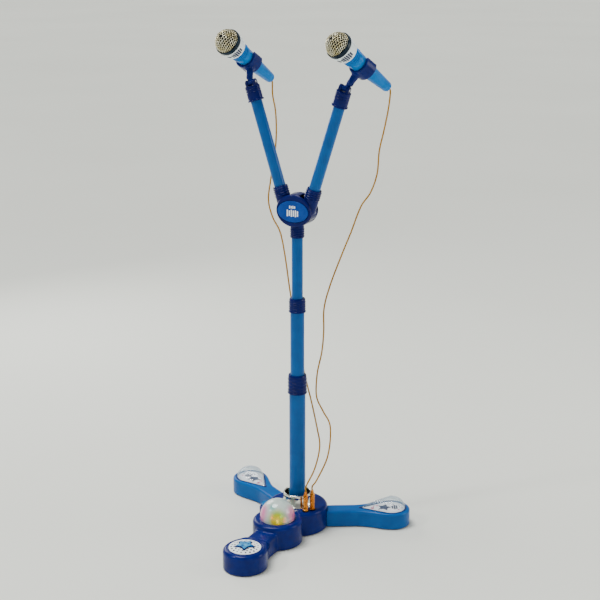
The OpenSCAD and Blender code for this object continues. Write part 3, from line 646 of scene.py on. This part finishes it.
def base_body(p, inset):
    """The base's form, with its walls and its top moved in by inset."""
    x, y, z = p
    low = -60
    edge = EDGE - 0.8 * inset
    hub = disc(p, (0, 0), HUB_R - inset, low, BASE_H - inset, edge)
    lamp = disc(p, LAMP_AT, LOBE_R - inset, low, BASE_H - inset, edge)
    button = disc(p, BUTTON_AT, BUTTON_LOBE_R - inset, low, BASE_H - inset, 4 - inset)
    neck = np.maximum(np.abs(x) - NECK_W / 2 + inset,
                      np.abs(y - (SPEAKER_AT.y + LAMP_AT.y) / 2) - (LAMP_AT.y - SPEAKER_AT.y) / 2)
    foot = np.hypot(x, y - SPEAKER_AT.y) - FOOT_R + inset
    slope = np.clip((y - SPEAKER_AT.y - 36) / 14, 0, 1)
    top = FOOT_H - inset - 3 * slope * slope * (3 - 2 * slope)
    front = slab(melt(foot, neck, 20), z - top, edge)
    return melt(melt(melt(hub, lamp, 3), front, 5), button, 3)


def base_shell(p):
    """The base's hollow top shell with its grooves, openings and the two legs' slots."""
    x, y, z = p
    shell = carve(base_body(p, 0), base_body(p, WALL), 0.3)
    lamp_far = np.hypot(x, y - LAMP_AT.y)
    speaker_far = np.hypot(x, y - SPEAKER_AT.y)
    for far, r, top, deep in ((lamp_far, 36.2, BASE_H, 0.8), (speaker_far, 34.4, FOOT_H, 0.7)):
        shell = carve(shell, np.hypot(far - r, z - top) - deep, 0.5)
    for far, r, floor in ((lamp_far, 32, 30), (speaker_far, 31, 30), (np.hypot(x, y), 25.6, 40)):
        shell = carve(shell, np.maximum(far - r, floor - z))
    holes = [(BUTTON_AT, 13), (AUX_AT, 5.2), (middle("plug_left"), 6.6), (middle("plug_right"), 6.6)]
    for at, r in holes:
        shell = carve(shell, np.maximum(np.hypot(x - at.x, y - at.y) - r, 40 - z), 0.5)
    for side in NAMES:
        u, v, w = local(p, leg_frame(side))
        slot = np.maximum(np.maximum(np.abs(u - 60) - 20, np.abs(v) - 11.2), np.abs(w - 17) - 9.3)
        shell = carve(shell, slot, 0.3)
    return keep(shell, FLOOR_GAP - z)


def leg_shell(p):
    """A leg in its own axes: u along it, v across it."""
    u, v, z = p

    def body(inset):
        t = np.clip((u - FLARE_FROM) / (LEG_REACH - FLARE_FROM), 0, 1)
        width = LEG_HALF + (LEG_LOBE_R - LEG_HALF) * t * t * (3 - 2 * t)
        side = np.where(u < LEG_REACH, np.abs(v) - width, np.hypot(u - LEG_REACH, v) - LEG_LOBE_R)
        return slab(side + inset, z - LEG_H + inset, 5 - 0.8 * inset)

    shell = carve(body(0), np.maximum(body(WALL), 66 - u), 0.3)
    shell = carve(shell, np.maximum(drop(u, v, 2), LEG_H - 10 - z), 0.6)
    shell = carve(shell, np.hypot(drop(u, v) - 0.9, z - LEG_H) - 0.6, 0.4)
    shell = carve(shell, np.hypot(u, v) - HUB_R - 0.2, 0.5)
    return keep(shell, FLOOR_GAP - z)


def drop_line(inset, steps):
    """A teardrop's outline from its tip round its big end, counter-clockwise."""
    reach = drop_reach(inset)
    big = DROP_R - inset
    lean = math.asin((big - DROP_TIP_R) / reach)
    tip = arc(DROP_TIP_R, math.pi / 2 + lean, 3 * math.pi / 2 - lean, 7, (DROP_AT - reach, 0))
    end = arc(big, -math.pi / 2 - lean, math.pi / 2 + lean, steps, (DROP_AT, 0))
    side = [tuple(p) for p in np.linspace(tip[-1], end[0], 14)[1:-1]]
    back = [(u, -v) for u, v in side[::-1]]
    return np.array(tip + side + end + back)


def window_skin(inset, rise):
    """Rings of points over a teardrop: steep over its round end, long and low towards its tip."""
    line = drop_line(inset, 40)
    toward_tip = np.clip((DROP_AT - line[:, 0]) / (DROP_AT - DROP_TIP), 0, 1) ** 0.7
    rings = []
    for s in np.cos(np.linspace(0, math.pi / 2, 18)[:-1]):
        flat = (DROP_AT, 0) + (line - (DROP_AT, 0)) * s
        power = 0.5 + 0.45 * toward_tip
        height = rise * np.maximum(1 - s ** (2 - 0.4 * toward_tip), 0) ** power
        rings.append(np.column_stack([flat, LEG_H + height]))
    return rings


def make_window(side):
    name = f"leg_{NAMES[side]}_window"
    outer = window_skin(0, WINDOW_RISE)
    inner = window_skin(GLASS, WINDOW_RISE - GLASS)
    count = len(outer[0])
    rings = inner[::-1] + outer
    points = [(DROP_AT, 0, LEG_H + WINDOW_RISE - GLASS)] + [p for ring in rings for p in ring]
    points.append((DROP_AT, 0, LEG_H + WINDOW_RISE))
    faces = strips(len(rings), count, 1)
    last = len(points) - 1
    for s in range(count):
        t = (s + 1) % count
        faces.append([0, 1 + t, 1 + s])
        faces.append([last, last - count + s, last - count + t])
    mesh = build(name + "_shape", points, faces, leg_frame(side))
    visual(name, mesh, clear)
    seal_r = 1.1
    line = drop_line(-seal_r, 60)
    line = np.column_stack([line, np.full(len(line), LEG_H)])
    ring = build(f"seal_{NAMES[side]}", *sweep([*line, line[0]], seal_r, 8), leg_frame(side))
    add(f"leg_{NAMES[side]}_seal", ring, navy, "base")


def make_base():
    visual("base_shell_top", node_mesh("base_shell_top", "base_shell", base_shell, 2, 1.3), base_blue)
    end = LEG_REACH + LEG_LOBE_R
    for side in NAMES:
        name = f"leg_{NAMES[side]}_shell"
        mesh = field_mesh(name + "_shape", leg_shell, (58, -39, 0), (end + 2, 39, 37), 1.2,
                          leg_frame(side))
        visual(name, mesh, leg_blue)
        make_window(side)


def make_dome():
    """The clear dome over its coloured lamps."""
    low, high = corners("light_dome")
    r = (high.x - low.x) / 2
    rise = BASE_H + 5
    inner = r - GLASS
    outside = arc(r, 0, math.pi / 2, 30, (0, rise))[:-1]
    inside = arc(inner, math.pi / 2, 0, 30, (0, rise))[1:]
    rim = [(inner, BASE_H + 1.5), (r - 4.6, BASE_H + 1.5), (r - 4.6, low.z), (r - 3.2, low.z),
           (r - 3.2, BASE_H), (r, BASE_H)]
    profile = outside + [(0, rise + r), (0, rise + r - GLASS)] + inside + rim
    visual("light_dome", lathe("light_dome_shape", profile, upright(LAMP_AT)), dome_plastic())
    glow = [("yellow", (9, -16), (240, 236, 0), 5), ("pink", (-15, 3), (255, 90, 160), 5),
            ("rose", (15, 3), (255, 100, 150), 5), ("green", (0, 14), (60, 200, 180), 4)]
    foot = corners("lamps")[0].z
    bulb_r = 2.9
    for name, (dx, dy), colour, power in glow:
        resin = material(f"lamp_{name}", colour, colour, 0.25, Transmission_Weight=0.3,
                         Emission_Color=(*rgb(*colour), 1), Emission_Strength=power)
        profile = [(0, foot), (3.5, foot), (3.5, foot + 1.2), (bulb_r, foot + 1.4)]
        profile += arc(bulb_r, 0, 1.5, 9, (0, foot + 8)) + [(0, foot + 8 + bulb_r)]
        mesh = lathe(f"lamp_{name}_shape", profile, upright(LAMP_AT + Vector((dx, dy, 0))), 32)
        add(f"lamp_{name}_visual", mesh, resin, "base", "lamps")


def make_speaker():
    """The perforated cover, a black sheet that paints the shade in its holes, and the star on it."""
    cap_r = 114.7
    crown = FOOT_H + 5
    hole_rings = [(8, 6), (14, 11), (20, 15), (26, 19)]
    star_outer = 18.2
    star_inner = 10.2

    def height(p):
        """Distance above the cover's crown."""
        return np.sqrt(p[0] ** 2 + (p[1] - SPEAKER_AT.y) ** 2 + (p[2] - crown + cap_r) ** 2) - cap_r

    def cover(p):
        x, y, z = p
        y = y - SPEAKER_AT.y
        far = np.hypot(x, y)
        cap = slab(far - 33.5, np.abs(height(p) + 0.9) - 0.9, 0.5)
        skirt = np.maximum(np.abs(far - 29.8) - 1, np.abs(z - FOOT_H + 1.4) - 2.6)
        cap = melt(keep(cap, FOOT_H - z), skirt, 0.8)
        for ring, (r, count) in enumerate(hole_rings):
            pitch = 2 * math.pi / count
            wander = 0.35 * np.sin(7.3 * np.round(np.arctan2(y, x) / pitch) + ring)
            turn = (np.arctan2(y, x) + pitch / 2) % pitch - pitch / 2
            hole = np.hypot(far * np.cos(turn) - r - wander, far * np.sin(turn)) - 1.85 - wander
            cap = carve(cap, hole, 0.35)
        return cap

    reach = 35
    low = (-reach, SPEAKER_AT.y - reach, FOOT_H - 5)
    high = (reach, SPEAKER_AT.y + reach, FOOT_H + 7)
    mesh = field_mesh("speaker_cover", cover, low, high, 0.62)
    visual("speaker_grille", mesh, white)
    # Painted shade: a black sheet inside the cover's wall, seen only through the holes, so that they read
    # dark.
    sag = [(r, crown - cap_r + math.sqrt(cap_r ** 2 - r ** 2)) for r in np.linspace(0, 28.4, 16)]
    hole_shade = [(r, z - 0.5) for r, z in sag] + [(r, z - 1.3) for r, z in sag[::-1]]
    add("speaker_hole_shade", lathe("hole_shade", hole_shade, upright(SPEAKER_AT), 64), black, "base")
    turn = Matrix.Rotation(math.radians(-10), 4, "Z")
    for name, grow, foot, top, mat in (("edge", 2.4, 0.3, 1.3, navy), ("face", 0.2, 1.3, 2.7, star_blue)):
        def badge(p):
            x, y, z = local([p[0], p[1] - SPEAKER_AT.y, p[2]], turn)
            side = star(x, y, star_outer, star_inner) - grow
            return slab(side, np.abs(height(p) - (foot + top) / 2) - (top - foot) / 2, 0.6)

        mesh = field_mesh(f"star_{name}", badge, (-22, SPEAKER_AT.y - 22, crown - 4),
                          (22, SPEAKER_AT.y + 22, crown + 5), 0.5)
        add(f"star_badge_{name}", mesh, mat, "base", "star_badge")


make_base()
make_dome()
make_speaker()


# --- smaller pieces of the base ---

def make_fittings():
    """The chrome ring, the black sleeve in it and the power button."""
    low, high = corners("collar_ring")
    foot = high.x
    lip = 28.8
    ring = [(25.8, low.z), (foot, low.z), (foot, low.z + 1.4)]
    ring += [(lip + (foot - lip - 1) * (1 - k / 8) ** 2, low.z + 1.4 + 2 * k) for k in range(1, 9)]
    ring += [(lip + 0.5, high.z - 4), (lip - 0.2, high.z - 1), (lip - 1.2, high.z), (26.6, high.z),
             (25.8, high.z - 1)]
    visual("collar_ring", lathe("ring", round_off(ring, 0.7), steps=128), chrome)
    low, high = corners("ring_sleeve")
    sleeve = [(16.7, low.z), (25.3, low.z), (25.3, high.z), (24.2, high.z), (23.2, high.z - 1.4),
              (21.6, high.z - 5), (19.2, high.z - 9), (16.7, high.z - 10)]
    visual("ring_sleeve", lathe("sleeve", round_off(sleeve, 0.5)), black)
    low, high = corners("power_button")
    cap = [(0, low.z), (4, low.z), (4, low.z + 1.1), (13.8, low.z + 1.1), (13.8, low.z + 3.1),
           (12.6, low.z + 3.1), (12.6, high.z), (10.6, high.z), (9.6, high.z - 0.8), (0, high.z - 1.1)]
    mesh = lathe("button", round_off(cap, 1.2), upright(BUTTON_AT))
    visual("power_button", mesh, button_blue, "power_button")


# --- pole ---

def pipe(r, low, high, wall=1.8):
    """A tube's closed profile, with its ends eased."""
    return round_off([(r, low), (r, high), (r - wall, high), (r - wall, low)], 0.5)


def lock_profile(inner, wide, outer, low, step, high):
    """A lock collar's profile: a flared foot, grip ribs and a lip round the thinner tube."""
    outline = [(wide, low), (outer + 1.1, low), (outer + 1.1, low + 2.6), (outer, low + 3.4)]
    pitch = (high - low - 10) / 4
    outline += ribs(low + 5.5, pitch, 4, outer, outer + 0.7, 0.5, 0.5 * pitch, 0.5 * pitch + 0.5)
    outline += [(outer, high - 3), (outer - 1.2, high), (inner, high), (inner, step), (wide, step)]
    return round_off(outline, 0.45, 3)


def make_pole():
    """The three tubes, the two lock collars and the hub's ribbed socket."""
    bodies = {"lower": "base", "middle": "middle_stage", "upper": "upper_stage"}
    for stage, body in bodies.items():
        low, high = corners(f"{stage}_pole")
        r = POLE_R[stage]
        visual(f"{stage}_pole", lathe(stage, pipe(r, low.z, high.z)), tube_blue, body)
        if stage == "upper":
            continue
        next_r = POLE_R["middle" if stage == "lower" else "upper"]
        lock_low, lock_high = corners(f"{stage}_lock")
        outline = lock_profile(next_r + POLE_FIT, r + POLE_FIT, r + 2.1, lock_low.z, high.z + 0.2,
                               lock_high.z)
        visual(f"{stage}_lock", lathe(f"{stage}_lock_shape", outline), navy, body)
    low, high = corners("hub_socket")
    bore = POLE_R["upper"] + POLE_FIT
    outline = [(bore, low.z), (13.6, low.z)] + ribs(low.z + 1.2, 4.6, 4, 13.3, 14.3, 0.6, 2.4, 3)
    outline += [(13.6, high.z), (0, high.z), (0, high.z - 7.8), (bore, high.z - 7.8)]
    visual("hub_socket", lathe("socket", round_off(outline, 0.5, 3)), navy, "upper_stage")


# --- hub ---

HUB_A = 37.5
HUB_B = 32
HUB_HALF = 18.5
BADGE_A = 33.4
BADGE_B = 21
FACE_Y = 15
PIVOT_X = 22
PIVOT_Z = 660
SWING = (4.2, 67.2)
POSTS_Z = (646, 687)


def hub_half(p, front):
    """Half of the hub, in world axes for the front and turned half round for the rear."""
    x, y, z = p
    if not front:
        x, y = -x, -y
    across = z - HUB_AT.z
    edge = oval(x, across, HUB_A, HUB_B)
    shell = keep(slab(edge, -y - HUB_HALF, 3.4), y + 0.1, 0.6)
    shell = carve(shell, np.hypot(edge - 0.2, y + 11.6) - 1, 0.6)
    room = np.maximum(oval(x, across, HUB_A - 3, HUB_B - 3), -y - FACE_Y)
    posts = np.minimum(*(np.hypot(x, z - at) for at in POSTS_Z))
    shell = carve(shell, np.maximum(room, 3.6 - posts), 0.3)
    middle_turn = math.radians((SWING[0] + SWING[1]) / 2)
    half_turn = (SWING[1] - SWING[0]) / 2
    for side in NAMES:
        u = side * x - PIVOT_X
        w = z - PIVOT_Z
        along = u * math.cos(middle_turn) - w * math.sin(middle_turn)
        upward = u * math.sin(middle_turn) + w * math.cos(middle_turn)
        slot = np.maximum(sector(along, upward, half_turn) - 15, -y - FACE_Y)
        shell = carve(shell, np.maximum(slot, y - 1), 0.5)
        shell = carve(shell, np.hypot(u, w) - PIVOT_HOLE_R, 0.3)
    shell = carve(shell, np.maximum(np.hypot(x, y) - 14.4, z - 641), 0.4)
    if front:
        recess = np.maximum(oval(x, across + 1, BADGE_A + 0.5, BADGE_B + 0.5), y + HUB_HALF - 0.8)
        return carve(shell, recess, 0.5)
    return carve(shell, np.maximum(posts - 3.4, y + HUB_HALF - 2.6), 0.4)


def badge_pad(p):
    """The oval badge, slightly crowned."""
    x, y, z = p
    edge = oval(x, z - HUB_AT.z + 1, BADGE_A - 0.1, BADGE_B - 0.1)
    crown = 0.6 * np.clip(1 - (x / BADGE_A) ** 2 - ((z - HUB_AT.z + 1) / BADGE_B) ** 2, 0, 1)
    return keep(slab(edge, -y - HUB_HALF - 0.8 - crown, 0.9), y + HUB_HALF - 0.75, 0.2)


def make_hub():
    """The hub's two half shells and its badge."""
    for half, front in (("front", True), ("rear", False)):
        def shell(p):
            return hub_half(p, front)

        node = f"hub_{half}_shell"
        visual(node, node_mesh(node, f"hub_{half}_form", shell, 1.5, 0.8), navy, "upper_stage")
    visual("hub_badge", node_mesh("hub_badge", "badge", badge_pad, 1.5, 0.7), badge_blue, "upper_stage")


# --- arms and clips ---

def arm_socket(p):
    """An arm's drum and ribbed barrel, in the arm's axes."""
    x, y, z = p
    drum = slab(np.hypot(x, z) - 14.8, np.abs(y) - 13.9, 1.2)
    far = np.hypot(x, y)
    barrel = slab(far - 14.5, np.abs(z - 29) - 23, 1)
    for ring in (33.5, 38, 42.5, 47):
        barrel = melt(barrel, np.hypot(far - 14.3, z - ring) - 1.25, 0.5)
    form = melt(drum, barrel, 2.5)
    form = np.maximum(form, np.hypot(x, np.maximum(z, 0)) - 60)
    form = carve(form, np.hypot(x, z) - PIVOT_HOLE_R, 0.3)
    return carve(form, np.maximum(far - ARM_R - 0.05, 17.8 - z), 0.4)


def arm_collar(p):
    """The collar at an arm's end: a lip, two grip rings and two ears for the clip's pin."""
    x, y, z = p
    far = np.hypot(x, y)
    low = ARM_LEN - 30
    body = slab(far - 14.6, np.abs(z - ARM_LEN + 15) - 15, 1.2)
    lip = slab(far - 16, np.abs(z - low - 1.5) - 1.5, 0.9)
    form = melt(body, lip, 0.8)
    for ring in (low + 18, low + 23):
        form = carve(form, np.hypot(far - 14.8, z - ring) - 0.8, 0.4)
    from_pin = np.hypot(y, z - ARM_LEN - HINGE_UP)
    ear = np.minimum(from_pin - 6, np.maximum(np.abs(y) - 6, np.abs(z - ARM_LEN - 1) - 5))
    ear = slab(ear, np.abs(np.abs(x) - 8.1) - 2.9, 0.7)
    form = melt(form, ear, 1.2)
    form = carve(form, np.maximum(np.maximum(np.abs(x) - 5.2, np.abs(y) - 40), ARM_LEN - z), 0.3)
    form = carve(form, from_pin - HINGE_HOLE_R, 0.3)
    return carve(form, np.maximum(far - ARM_R - 0.05, z - ARM_LEN + 4.8), 0.4)


def clip_form(side):
    """A clip in world axes: an eye on its pin, a curved neck and an open ring."""
    arm = arm_frame(side)
    mic = mic_frame(side)
    hinge = arm @ Vector((0, 0, ARM_LEN + HINGE_UP))
    centre = Vector(CLIP_AT[side])
    toward = (centre - hinge).normalized()
    out = Vector((side, 0, 0)) - toward * toward.dot(Vector((side, 0, 0)))
    out.normalize()
    foot = hinge + 4 * toward
    halfway = hinge + 13 * toward
    bend = halfway + 2.2 * out
    crown = centre - 20.5 * toward

    def field(p):
        ax, ay, az = local(p, arm)
        from_pin = np.hypot(ay, az - ARM_LEN - HINGE_UP)
        eye = slab(from_pin - 5.4, np.abs(ax) - 4.9, 0.6)
        neck = melt(capsule(p, foot, bend, *STEM_R[:2]), capsule(p, bend, crown, *STEM_R[1:]), 2)
        fluting = capsule(p, halfway + 8.4 * out, crown + 9.4 * out, 1.5, 1.8)
        neck = carve(neck, fluting, 1)
        mx, my, mz = local(p, mic)
        far = np.hypot(mx, my)
        ring = slab(np.abs(far - CLIP_IN - 2.3) - 2.3, np.abs(mz) - CLIP_HALF, 1.4)
        form = melt(melt(eye, neck, 1.5), ring, 5)
        form = carve(form, np.maximum(sector(mx, my, CLIP_OPEN), np.abs(mz) - 40), 1.6)
        form = carve(form, far - CLIP_IN, 0.4)
        return carve(form, from_pin - HINGE_HOLE_R, 0.3)

    return field


def make_arms():
    """Both arms: socket, tube, end collar and clip."""
    for side, name in NAMES.items():
        body = f"arm_{name}"
        place = arm_frame(side)
        reach = 16.5
        mesh = field_mesh(f"socket_{name}", arm_socket, (-reach, -reach, -reach), (reach, reach, 54), 0.8,
                          place)
        visual(f"{body}_socket", mesh, navy, body)
        tube = lathe(f"tube_{name}", pipe(ARM_R, 18, ARM_LEN - 6), place)
        visual(f"{body}_tube", tube, tube_blue, body)
        mesh = field_mesh(f"collar_{name}", arm_collar, (-17.5, -17.5, ARM_LEN - 32),
                          (17.5, 17.5, ARM_LEN + 14), 0.7, place)
        visual(f"{body}_collar", mesh, navy, body)
        clip = f"clip_{name}"
        visual(clip, node_mesh(clip, clip + "_form", clip_form(side), 1.5, 0.8), clip_navy, clip)


# --- microphones ---

def wire_dome(name, r, reach, pitch, thick, matrix):
    """Two crossing families of wires pressed into a dome, each weaving over and under the other."""
    lean = math.radians(32)
    points = []
    faces = []
    for family in (1, -1):
        d = np.array((family * math.sin(lean), math.cos(lean)))
        n = np.array((math.cos(lean), -family * math.sin(lean)))
        count = int(reach / pitch)
        for k in range(-count, count + 1):
            half = math.sqrt(reach ** 2 - (k * pitch) ** 2)
            if half < pitch:
                continue
            s = np.linspace(-half, half, max(6, int(2 * half / (0.4 * pitch))))
            flat = k * pitch * n + s[:, None] * d
            crossing = (k * pitch * math.cos(2 * lean) + s * math.sin(2 * lean)) / pitch
            rise = family * 0.32 * np.cos(math.pi * crossing) * (-1) ** k
            far = np.hypot(flat[:, 0], flat[:, 1])
            turn = flat / np.maximum(far, 1e-6)[:, None]
            polar = np.minimum(far / r, math.pi / 2)
            side = (r + rise) * np.sin(polar)
            height = (r + rise) * np.cos(polar) - np.maximum(far - r * math.pi / 2, 0)
            line = np.column_stack([turn * side[:, None], height])
            tube_points, tube_faces = sweep(line, thick, 5)
            faces += [[i + len(points) for i in face] for face in tube_faces]
            points += list(tube_points)
    return build(name, points, faces, matrix, crease=80)


def make_mic(side):
    """A microphone: handle, band, rim, wire dome, foam and the stud at its tip."""
    name = NAMES[side]
    body = f"mic_{name}"
    place = mic_frame(side)
    handle = [(0, TAIL_Z), (4.4, TAIL_Z), (4.4, TAIL_Z + 0.8), (6.4, TAIL_Z + 0.8), (9, TAIL_Z + 1.6),
              (10.1, TAIL_Z + 4.6), (17.9, NECK_Z), (18, NECK_Z + 1)]
    handle += ribs(NECK_Z + 2.2, 4.6, 3, 17.2, 18.8, 0.7, 2.5, 3.2)
    handle += [(18, BAND_Z - 2), (17.4, BAND_Z), (16, BAND_Z), (16, NECK_Z), (8.2, TAIL_Z + 6),
               (0, TAIL_Z + 6)]
    band = [(16, BAND_Z), (19.4, BAND_Z), (22, 48.2), (22.3, 50), (25.8, 68), (25.9, RIM_Z), (24, RIM_Z),
            (20.2, 49.5), (16, 48)]
    rim = [(23.5, RIM_Z), (25.2, RIM_Z), (25.2, RIM_Z + 0.7), (25.95, RIM_Z + 1.2), (25.95, DOME_Z + 1),
           (25.3, DOME_Z + 2), (24.5, DOME_Z + 2), (24.4, DOME_Z), (23.5, DOME_Z)]
    turned = [("handle", handle, 0.9, handle_blue), ("band", band, 0.7, white), ("rim", rim, 0.4, rim_teal)]
    for piece, profile, ease, mat in turned:
        mesh = lathe(f"{piece}_{name}", round_off(profile, ease), place)
        visual(f"{body}_{piece}", mesh, mat, body)
    top = place @ Matrix.Translation((0, 0, DOME_Z))
    mesh = wire_dome(f"wires_{name}", r=23.2, reach=40, pitch=4.6, thick=0.55, matrix=top)
    visual(f"{body}_mesh", mesh, wire, body)
    outer = 22.7
    inner = 21.2
    pad = arc(outer, 0, math.pi / 2, 20)[:-1] + [(0, outer), (0, inner)]
    pad += arc(inner, math.pi / 2, 0, 20)[1:] + [(inner, -4), (outer, -4)]
    add(f"{body}_foam", lathe(f"foam_{name}", pad, top, 64), foam, body, f"{body}_mesh")
    stud = [(0, 22.8), (3, 22.5), (3.2, 23.6), (2.4, 24.5), (0, 24.8)]
    mesh = lathe(f"stud_{name}", round_off(stud, 0.4), top, 32)
    add(f"{body}_stud", mesh, black, body, f"{body}_mesh")


# --- printed marks ---

def bar(u, v, wide, tall):
    """A bar's outline, with points along its sides so that it can wrap."""
    across = np.linspace(-wide / 2, wide / 2, 5)
    return ([(u + a, v - tall / 2) for a in across] + [(u + a, v + tall / 2) for a in across[::-1]])


def bars(u, v, step, wide, heights, rise=0):
    """A row of bars, with every second one higher by rise."""
    return [bar(u + step * k, v + rise * (k % 2), wide, t) for k, t in enumerate(heights)]


def blob(u, v, r):
    return arc(r, 0, 2 * math.pi, 21, (u, v))[:-1]


def note(u, v, size):
    """A plain music note: a head, a stem and a flag."""
    return [blob(u, v, 0.3 * size), bar(u + 0.26 * size, v + 0.5 * size, 0.1 * size, 1.1 * size),
            bar(u + 0.45 * size, v + 0.98 * size, 0.42 * size, 0.16 * size)]


def stamp(name, marks, place, mat, body, thick=0.14):
    """Thin raised marks: place(u, v, h) puts a point of the flat drawing on the object."""
    points = []
    faces = []
    for outline in marks:
        u, v = np.mean(outline, axis=0)
        count = len(outline)
        start = len(points)
        for h in (thick, 0):
            points += [place(a, b, h) for a, b in outline] + [place(u, v, h)]
        for s in range(count):
            t = (s + 1) % count
            low = start + count + 1
            faces.append([start + s, start + t, start + count])
            faces.append([low + t, low + s, low + count])
            faces.append([start + t, start + s, low + s, low + t])
    add(name, build(name + "_shape", points, faces), mat, body)


def make_marks():
    """Generic bars and notes where the toy is printed."""
    for side, name in NAMES.items():
        mic = mic_frame(side)

        def on_band(u, v, h):
            r = 22.3 + (v - 50) * 3.6 / 18.5 + h
            turn = math.radians(-46) + u / 24
            return mic @ Vector((r * math.cos(turn), r * math.sin(turn), v))

        marks = bars(-8, 59, 4.2, 3.3, (11, 14, 16, 14, 15, 11), 0.5) + [blob(-16, 59, 4.8)]
        stamp(f"mic_{name}_marks", marks, on_band, print_navy, f"mic_{name}")
        leg = leg_frame(side)
        turn = side == LEFT
        card_top = corners("leg_cards")[1].z

        def on_card(u, v, h):
            return leg @ Vector((u, -v if turn else v, card_top + h))

        stamp(f"card_{name}_pink", note(155, -3, 11) + [blob(166, 8, 2.2), blob(209, -11, 2)], on_card,
              print_pink, "base")
        tips = [(15 if k % 2 == 0 else 8.4, k * math.pi / 5) for k in range(10)]
        marks = [[(180 + r * math.cos(a), r * math.sin(a)) for r, a in tips]]
        marks += bars(197, 0, 4.4, 3.3, (14, 20, 16))
        marks += [blob(212, 5, 1.9), blob(216, -4, 1.9), blob(200, 14, 1.6), blob(168, -9, 1.6)]
        stamp(f"card_{name}_navy", marks, on_card, print_navy, "base")

    def on_badge(u, v, h):
        crown = 0.6 * max(1 - (u / BADGE_A) ** 2 - (v / BADGE_B) ** 2, 0)
        return u, -HUB_HALF - 0.8 - crown - h, HUB_AT.z - 1 + v

    marks = bars(-6, 9, 3.6, 2.3, (5.4, 4.4, 5.4, 4.6))
    marks += bars(-11, -3, 4.4, 2.7, (13, 10.4, 13.6, 11.4, 13, 10.8))
    stamp("badge_marks", marks, on_badge, print_white, "upper_stage")


make_fittings()
make_pole()
make_hub()
make_arms()
for side in NAMES:
    make_mic(side)
make_marks()


# --- CAD pieces that stay as they are ---

def finish_cad():
    """Gives each CAD node that still shows its own surface."""
    finishes = {
        navy: ["base_shell_bottom", "battery_door", "leg_floors"],
        rubber: ["rubber_feet"],
        steel: ["base_screws", "hub_screws", "arm_pins", "clip_pin_left", "clip_pin_right"],
        battery_case: ["batteries"],
        contact_steel: ["battery_contacts"],
        board_green: ["main_board", "light_board"],
        black: ["jack_sockets", "aux_socket", "speaker_driver", "mic_left_capsule", "mic_right_capsule"],
        card: ["leg_cards"],
    }
    for mat, names in finishes.items():
        for name in names:
            mesh = frame["nodes"][name].data
            mesh.materials.clear()
            mesh.materials.append(mat)


finish_cad()


# --- room ---

def make_room():
    """A pale floor under a sky that is pale at the horizon, with a sun and round soft lights."""
    bpy.ops.mesh.primitive_plane_add(size=400)
    floor = bpy.context.object
    floor.name = "floor"
    floor.data.materials.append(
        material("floor", (222, 224, 214), (226, 228, 218), 0.8, blotch=0.6, Specular_IOR_Level=0.1))
    world = bpy.data.worlds.new("room")
    bpy.context.scene.world = world
    world.use_nodes = True
    nodes = world.node_tree.nodes
    link = world.node_tree.links.new
    where = nodes.new("ShaderNodeTexCoord")
    parts = nodes.new("ShaderNodeSeparateXYZ")
    link(where.outputs["Generated"], parts.inputs["Vector"])
    ramp = colour_ramp(nodes, (0.1, (0.92, 0.93, 0.9)), (0.4, (0.3, 0.31, 0.32)))
    link(parts.outputs["Z"], ramp.inputs["Fac"])
    link(ramp.outputs["Color"], nodes["Background"].inputs["Color"])
    sun = bpy.data.lights.new("sun", "SUN")
    sun.energy = 3.3
    sun.angle = math.radians(30)
    soft = [("key", (-1.6, -1.9, 2.2), 0.3, 24), ("rim_left", (-1.6, 0.9, 1.1), 1.1, 15),
            ("rim_right", (2.0, 0.9, 1.1), 1.1, 15), ("fill", (2.6, -1.9, 0.9), 0.6, 6)]
    lights = [(sun, (-0.5, -0.2, 2.4))]
    for name, place, size, power in soft:
        light = bpy.data.lights.new(name, "AREA")
        light.shape = "DISK"
        light.size = size
        light.energy = power
        lights.append((light, place))
    for light, place in lights:
        lamp = bpy.data.objects.new(light.name, light)
        lamp.location = place
        aim = Vector((0, 0, 0.45)) - Vector(place)
        lamp.rotation_euler = aim.to_track_quat("-Z", "Y").to_euler()
        bpy.context.scene.collection.objects.link(lamp)


make_room()
